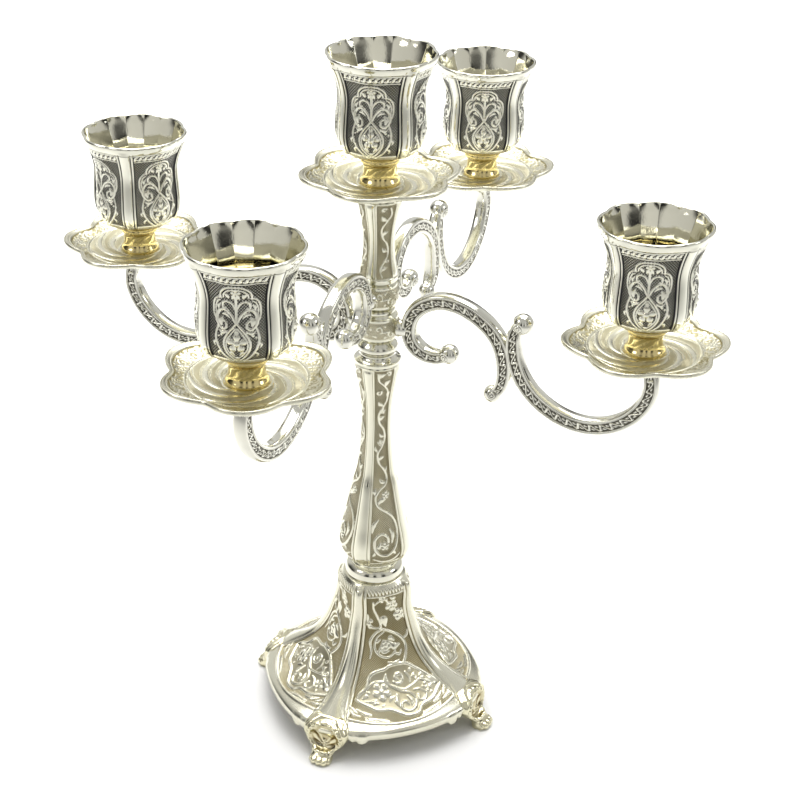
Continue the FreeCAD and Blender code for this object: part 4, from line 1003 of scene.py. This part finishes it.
# ------------------------------------------------------------ column, neck, hubs, stem
COLLAR = [(86.0, 15.2), (86.6, 15.9), (88.4, 16.3), (90.4, 16.2), (92.0, 15.5), (93.2, 14.3), (93.9, 13.2)]
COLUMN = [(93.9, 13.2), (94.6, 12.4), (95.5, 12.5), (97.2, 14.8), (99.9, 17.2), (104.0, 19.0), (107.6, 19.6),
          (111.5, 19.2), (120.0, 17.3), (129.0, 15.4), (138.0, 13.5),
          (146.0, 11.7), (150.0, 10.6), (156.0, 9.6), (163.0, 8.9), (176.7, 8.0),
          (185.0, 8.0), (193.0, 8.4), (204.0, 10.0), (213.0, 11.6), (219.5, 12.4)]
NECK = [(219.5, 11.4), (221.0, 9.4), (222.6, 8.8), (224.0, 9.6), (225.8, 10.8),
        (227.6, 10.8), (229.2, 9.8), (230.5, 8.6)]
STEM = [(264.7, 9.9), (267.0, 9.8), (272.0, 9.0), (279.0, 8.1), (285.0, 7.9),
        (292.0, 8.4), (300.0, 9.8), (306.0, 11.0), (310.0, 11.6), (312.6, 11.2),
        (314.4, 9.6), (315.6, 8.6)]


def fluted(strokes, z_lo, z_hi, half_rib=15.5, rib_h=0.9, sink=0.38, edge_lo=2.4, edge_hi=2.4):
    def fn(T, Z, R):
        phi = np.degrees(T) % 90 - 45
        rib = 45 - np.abs(phi)
        fade = smooth(z_lo, z_lo + edge_lo, Z) * (1 - smooth(z_hi - edge_hi, z_hi, Z))
        k = R / 14.0
        x = rib / half_rib
        bead = np.sqrt(np.clip(1 - ((x - 0.93) / 0.15) ** 2, 0, 1))
        ribh = rib_h * k * np.sqrt(np.clip(1 - (x / 0.76) ** 2, 0, 1)) + 0.42 * k ** 0.5 * bead
        inpanel = smooth(1.08, 1.14, x) * smooth(z_lo, z_lo + 0.7, Z) * (1 - smooth(z_hi - 0.7, z_hi, Z))
        X = np.radians(phi) * R
        q = T.shape[1] // 4
        h1 = relief(X[:, :q], Z[:, :q], [(p, [1.25 * v for v in np.atleast_1d(w)], 1.1 * hh) for p, w, hh in strokes])
        h = np.tile(h1, (1, 4))
        ground = inpanel * (1 - smooth(0.04, 0.24, h))
        H = -sink * inpanel + h * (inpanel > 0.02) + ribh * fade
        edge = 0.4 * (np.sqrt(np.clip(1 - ((Z - z_lo + 0.5) / 0.55) ** 2, 0, 1)) + np.sqrt(np.clip(1 - ((Z - z_hi - 0.5) / 0.55) ** 2, 0, 1)))
        H = H + edge
        # painted shade in the sunk ground; painted dark reflection streaks along each rib's edge and beside its bead
        cav = np.clip(ground + fade * (1.75 * np.exp(-((x - 0.77) / 0.055) ** 2) + 1.1 * np.exp(-((x - 1.09) / 0.035) ** 2)), 0, 1.8)
        return H, cav, ground
    return fn


def column_strokes():
    S = []
    # bulb: a large spiral with a flower in it
    S += [([(-1.2, 133.0), (3.0, 130.0), (6.4, 124.6), (7.2, 117.6), (5.2, 110.8), (0.6, 106.6), (-4.2, 107.4), (-6.8, 111.8), (-6.2, 116.8), (-2.6, 119.4), (0.6, 117.6), (1.2, 114.6)], [0.45, 0.7, 0.55], 0.55),
          ([(-7.4, 104.2), (-2.0, 102.0), (4.0, 102.6), (8.2, 105.6)], [0.35, 0.7, 0.35], 0.5),
          ([(-7.8, 120.4), (-6.6, 124.6), (-4.0, 127.6)], [0.4, 1.0, 0.35], 0.5),
          ([(3.2, 114.0), (4.0, 118.0), (2.4, 121.6)], [0.4, 1.0, 0.35], 0.48),
          ([(-4.6, 112.0), (-3.6, 114.6)], [0.9, 0.4], 0.5), leaf(2.4, 108.2, 5.4, 106.0, 0.8), leaf(-7.2, 109.0, -8.4, 106.2, 0.7)]
    S += flower(-1.2, 112.6, 2.2, 5, 0.55, 0.3)
    # vine with leaves to the waist and up to the neck
    S += [([(-1.2, 133.0), (-4.0, 136.0), (-4.6, 140.4), (-2.0, 144.4), (1.6, 147.4), (2.6, 151.6), (0.8, 156.0), (-1.8, 160.0), (-2.2, 165.0),
            (0.2, 169.4), (2.0, 174.0), (1.4, 179.0), (-1.2, 183.4), (-1.6, 188.6), (0.6, 193.0), (2.8, 197.4), (2.8, 202.6), (0.2, 206.8),
            (-2.8, 210.0), (-3.6, 214.6)], [0.5, 0.5, 0.42], 0.5),
          leaf(-3.4, 136.6, 1.2, 139.0, 1.2, 0.5), leaf(-4.4, 141.0, -4.0, 145.4, 0.9, 0.45), leaf(1.6, 148.0, -1.8, 150.6, 0.9, 0.45),
          leaf(2.2, 153.0, 3.2, 157.0, 0.8, 0.42), leaf(-1.8, 161.0, 1.4, 163.0, 0.9, 0.45), leaf(-2.0, 166.0, -3.4, 169.6, 0.7, 0.42),
          leaf(1.8, 175.0, -1.2, 177.0, 0.8, 0.45), leaf(-1.4, 184.6, 1.6, 187.0, 0.9, 0.45), leaf(0.8, 194.0, -2.2, 196.6, 0.9, 0.45),
          leaf(2.8, 199.0, 4.4, 202.2, 0.9, 0.45), leaf(0.6, 206.0, 3.8, 209.4, 1.1, 0.48), leaf(-3.2, 211.6, 0.4, 214.0, 1.1, 0.48),
          spiral(-2.4, 202.4, 1.6, 0.5, 30, -250, 0.45, 0.45), spiral(2.6, 214.0, 1.5, 0.5, 150, -130, 0.45, 0.45)]
    S += flower(1.2, 141.4, 2.0, 5, 0.5, 0.2) + flower(-0.4, 171.6, 1.7, 5, 0.5, 0.5) + flower(0.4, 190.6, 1.6, 5, 0.45, 0.1)
    for k in range(-4, 5):
        S.append(([(k * 1.9, 97.2), (k * 1.9 + 0.35, 99.4)], [0.75, 0.35], 0.4))
    S.append(([(-12, 100.6), (0, 100.6), (12, 100.6)], 0.36, 0.36))
    return S


def stem_strokes():
    return [([(-1.6, 269.0), (-2.4, 273.0), (-0.2, 277.0), (2.0, 281.0), (1.6, 286.0), (-1.0, 290.0), (-1.8, 295.0), (0.6, 299.4), (3.0, 303.0), (2.2, 307.0)], [0.4, 0.45, 0.4], 0.45),
            leaf(-2.0, 272.0, 1.4, 273.6, 0.9, 0.45), leaf(1.8, 282.4, -1.2, 284.4, 0.9, 0.45), leaf(-1.2, 291.0, 1.8, 293.2, 0.9, 0.45),
            leaf(0.8, 300.0, -2.4, 302.6, 1.0, 0.45), spiral(-1.6, 306.0, 1.3, 0.4, 20, 290, 0.4, 0.42), spiral(1.8, 277.0, 1.0, 0.4, 200, -60, 0.35, 0.4)]


def scroll_band(z_c, half):
    """S scrolls on a stippled band round a ball."""
    def fn(T, Z, R):
        nu = T.shape[1]
        q = nu // 4
        X = (np.degrees(T) % 90 - 45) * pi / 180 * 11.0
        Y = (Z - z_c)
        S = [spiral(-3.6, 1.6, 2.2, 0.5, -60, 250, [0.5, 0.42], 0.5), spiral(3.6, -1.6, 2.2, 0.5, 120, 430, [0.5, 0.42], 0.5),
             ([(-2.4, -0.2), (0.0, 0.0), (2.4, 0.2)], 0.5, 0.5), leaf(-6.8, -2.2, -4.6, -3.8, 0.7), leaf(6.8, 2.2, 4.6, 3.8, 0.7),
             ([(0, 3.4)], 0.8, 0.45), ([(0, -3.4)], 0.8, 0.45), ([(-7.6, 1.8)], 0.7, 0.4), ([(7.6, -1.8)], 0.7, 0.4)]
        h = np.tile(relief(X[:, :q], Y[:, :q], S), (1, 4))
        band = smooth(half, half - 0.8, np.abs(Y))
        ground = band * (1 - smooth(0.04, 0.22, h))
        H = -0.3 * band + h * (band > 0.02) + 0.35 * np.sqrt(np.clip(1 - ((np.abs(Y) - half - 0.6) / 0.55) ** 2, 0, 1))
        # the second value returned is painted shade in the band's sunk ground
        return H, ground, ground * 0.6
    return fn


def hub_profile(zc, r, half=7.8):
    e = math.asin(half / r)
    a = np.linspace(-e, e, 24)
    return [(zc + r * math.sin(t), r * math.cos(t)) for t in a]


# ------------------------------------------------------------ build
def build():
    cup = cup_mesh()
    pan = pan_mesh()
    foot = turned("cup_foot", MAT_PLAIN, CUP_FOOT, 2.2, nu=128, gold=0.85)
    inner = {"lower": inner_arm_mesh("lower"), "upper": inner_arm_mesh("upper")}
    outer = outer_arm_mesh()
    top = 13.9
    tip = turned("arm_tip", MAT_PLAIN, [(top - 8.4, 4.6), (top - 6.6, 5.6), (top - 4.6, 5.2), (top - 2.4, 7.6), (top, 10.4)], 2.06, nu=112)
    for name, (x, y, zs) in LIGHTS.items():
        body = "light_" + name
        zs0 = zs
        piece("look_cup_" + name, cup, body, ["cup_bowl_" + name], (x, y, zs0), CUP_TURN[name])
        turned_pan = pan.copy()                     # turned in the mesh, so that its box stays tight
        turned_pan.transform(Matrix.Rotation(math.radians(PAN_TURN[name]), 4, "Z"))
        piece("look_pan_" + name, turned_pan, body, ["drip_pan_" + name], (x, y, zs0))
        piece("look_foot_" + name, foot, body, ["cup_foot_" + name], (x, y, zs0), CUP_TURN[name])
    for name, deg in ARM_TURN.items():
        kind = ARM_HUB[name]
        body = kind + "_arms"
        at = (0, 0, HUB_Z[kind])
        piece("look_inner_scroll_" + name, inner[kind], body, ["inner_scroll_" + name], at, deg)
        piece("look_outer_scroll_" + name, outer, body, ["outer_scroll_" + name], at, deg)
        ax, ay, _ = LIGHTS[name]
        piece("look_arm_tip_" + name, tip, body, ["arm_tip_" + name], (ax, ay, HUB_Z[kind]), deg)
    piece("look_base", base_mesh(), "stand", ["base_shell"])
    piece("look_feet", feet_mesh(), "stand", ["paw_feet"])
    piece("look_collar", turned("collar", MAT_PLAIN, COLLAR, 3.6, nu=192), "stand", ["base_collar"])
    piece("look_column", turned("column", MAT_COL, COLUMN, 3.6, nu=400, step=0.36,
                                strokes_fn=fluted(column_strokes(), 97.2, 216.6)), "stand", ["lower_column"])
    piece("look_neck", turned("neck", MAT_PLAIN, NECK, 3.6, nu=160), "stand", ["column_neck"])
    for kind, r in (("lower", 11.6), ("upper", 10.9)):
        zc = HUB_Z[kind]
        piece("look_%s_hub" % kind, turned(kind + "_hub", MAT_COL, hub_profile(zc, r), 3.06, nu=320, step=0.3,
                                           strokes_fn=scroll_band(zc, 5.2)), kind + "_arms", [kind + "_hub"])
    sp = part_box("hub_spacer")
    z0, z1 = sp[0].z / MM, sp[1].z / MM
    piece("look_spacer", turned("spacer", MAT_PLAIN, [(z0, 8.8), ((z0 + z1) / 2, 9.0), (z1, 8.8)], 3.02, nu=96), "upper_arms", ["hub_spacer"])
    piece("look_stem", turned("stem", MAT_COL, STEM, 2.1, nu=320, step=0.32,
                              strokes_fn=fluted(stem_strokes(), 267.4, 309.0, rib_h=0.7, sink=0.3)), "stand", ["upper_stem"])
    for n, o in frame["nodes"].items():
        if n.startswith("cup_screw"):
            o.data.materials.clear()
            o.data.materials.append(MAT_SCREW)
        elif n in ("base_washer", "base_nut", "tie_rod"):
            o.data.materials.clear()
            o.data.materials.append(MAT_STEEL)


build()


# ------------------------------------------------------------ floor, light, camera
def floor():
    me = bpy.data.meshes.new("floor")
    s = 60.0
    me.from_pydata([(-s, -s, 0), (s, -s, 0), (s, s, 0), (-s, s, 0)], [], [(0, 1, 2, 3)])
    o = bpy.data.objects.new("floor", me)
    bpy.context.scene.collection.objects.link(o)
    m = bpy.data.materials.new("floor_paper")
    m.use_nodes = True
    b = m.node_tree.nodes["Principled BSDF"]
    b.inputs["Base Color"].default_value = (0.85, 0.85, 0.85, 1)
    b.inputs["Roughness"].default_value = 0.9
    me.materials.append(m)
    return o


floor()


def area(name, loc, aim, size, power, colour=(1, 1, 1), shape="RECTANGLE", size_y=None):
    l = bpy.data.lights.new(name, "AREA")
    l.shape = shape
    l.size = size
    l.size_y = size_y or size
    l.energy = power
    l.color = colour
    o = bpy.data.objects.new(name, l)
    o.location = loc
    d = Vector(aim) - Vector(loc)
    o.rotation_euler = d.to_track_quat("-Z", "Y").to_euler()
    bpy.context.scene.collection.objects.link(o)
    return o


def world():
    w = bpy.data.worlds.new("studio")
    bpy.context.scene.world = w
    w.use_nodes = True
    nt = w.node_tree
    nt.nodes.clear()
    out = nt.nodes.new("ShaderNodeOutputWorld")
    bg = nt.nodes.new("ShaderNodeBackground")
    nt.links.new(bg.outputs[0], out.inputs[0])
    g = nt.nodes.new("ShaderNodeTexCoord")
    mp = nt.nodes.new("ShaderNodeMapping")
    mp.inputs["Rotation"].default_value = (0, 0, math.radians(-25))
    nt.links.new(g.outputs["Generated"], mp.inputs["Vector"])
    sp = nt.nodes.new("ShaderNodeSeparateXYZ")
    nt.links.new(mp.outputs[0], sp.inputs[0])
    x, y, z = sp.outputs
    az = math_node(nt, "ARCTAN2", y, x)
    # tall grey and dark strips between pale screens, an even pale ceiling
    r = nt.nodes.new("ShaderNodeValToRGB")
    r.color_ramp.interpolation = "EASE"
    el = r.color_ramp.elements
    stops = [(0.0, 0.10), (0.05, 0.85), (0.13, 0.95), (0.160, 0.04), (0.185, 0.04), (0.200, 0.9), (0.232, 1.0), (0.243, 0.05),
             (0.262, 0.05), (0.275, 0.95), (0.315, 1.0), (0.335, 0.06), (0.355, 0.06), (0.375, 0.85), (0.43, 0.9), (0.47, 0.08),
             (0.50, 0.08), (0.53, 0.8), (0.64, 0.95), (0.69, 0.15), (0.74, 0.95), (0.88, 1.0), (0.94, 0.08), (1.0, 0.10)]
    while len(el) < len(stops):
        el.new(0.5)
    for e, (p, v) in zip(el, stops):
        e.position = p
        e.color = (v, v, v, 1)
    nt.links.new(math_node(nt, "MULTIPLY_ADD", az, 1 / (2 * pi), 0.5), r.inputs["Fac"])
    top = nt.nodes.new("ShaderNodeMapRange")
    top.inputs["From Min"].default_value = 0.55
    top.inputs["From Max"].default_value = 0.85
    nt.links.new(z, top.inputs["Value"])
    soft = nt.nodes.new("ShaderNodeMapRange")
    soft.inputs["From Min"].default_value = 0.25
    soft.inputs["From Max"].default_value = 0.60
    soft.inputs["To Max"].default_value = 0.62
    nt.links.new(z, soft.inputs["Value"])
    strips = mix_colour(nt, soft.outputs[0], r.outputs["Color"], (0.84, 0.84, 0.84))
    col = mix_colour(nt, top.outputs[0], strips, (0.74, 0.74, 0.74))
    nt.links.new(col, bg.inputs["Color"])
    bg.inputs["Strength"].default_value = 0.66


world()
VIEW_AZ = math.radians(24.84)


def from_view(x, y, z):
    """A point given to the right of, beyond and above the object, as the camera sees it."""
    c, s = math.cos(VIEW_AZ), math.sin(VIEW_AZ)
    return (c * x - s * y, s * x + c * y, z)


back = area("overhead", from_view(0.0, 0.75, 1.5), from_view(0, 0.75, 0), 1.6, 16, (1.0, 0.995, 0.985))
back.data.spread = math.radians(105)
area("key", from_view(-1.3, -0.5, 1.3), (0, 0, 0.22), 0.55, 2.5, (1.0, 0.99, 0.97))
area("fill", from_view(1.5, -0.2, 1.0), (0, 0, 0.22), 0.5, 2.0, (0.96, 0.98, 1.0))


def camera():
    """Placed from the fit of the view; written out in the frame turned by the view's azimuth."""
    el, az, roll = math.radians(28.33), math.radians(24.84), math.radians(0.47)
    D, cx, cz = 0.96487, -0.01102, 0.19267
    f_px, u0, v0 = 1811.96, 356.08, 400.92
    fwd = Vector((0, math.cos(el), -math.sin(el)))
    up = Vector((0, math.sin(el), math.cos(el)))
    right = Vector((1, 0, 0))
    r2 = right * math.cos(roll) + up * math.sin(roll)
    u2 = up * math.cos(roll) - right * math.sin(roll)
    pos = Vector((cx, 0, cz)) - fwd * D
    rot = Matrix((r2, u2, -fwd)).transposed().to_4x4()
    M = Matrix.Rotation(az, 4, "Z") @ Matrix.Translation(pos) @ rot
    c = bpy.data.cameras.new("photo_view")
    c.sensor_width = 36.0
    c.lens = f_px / 800.0 * 36.0
    c.shift_x = (400.0 - u0) / 800.0
    c.shift_y = (v0 - 400.0) / 800.0
    c.clip_start, c.clip_end = 0.05, 200.0
    o = bpy.data.objects.new("photo_view", c)
    o.matrix_world = M
    bpy.context.scene.collection.objects.link(o)
    bpy.context.scene.camera = o


camera()
bpy.context.scene.view_settings.view_transform = "Standard"
bpy.context.scene.view_settings.look = "Medium High Contrast"
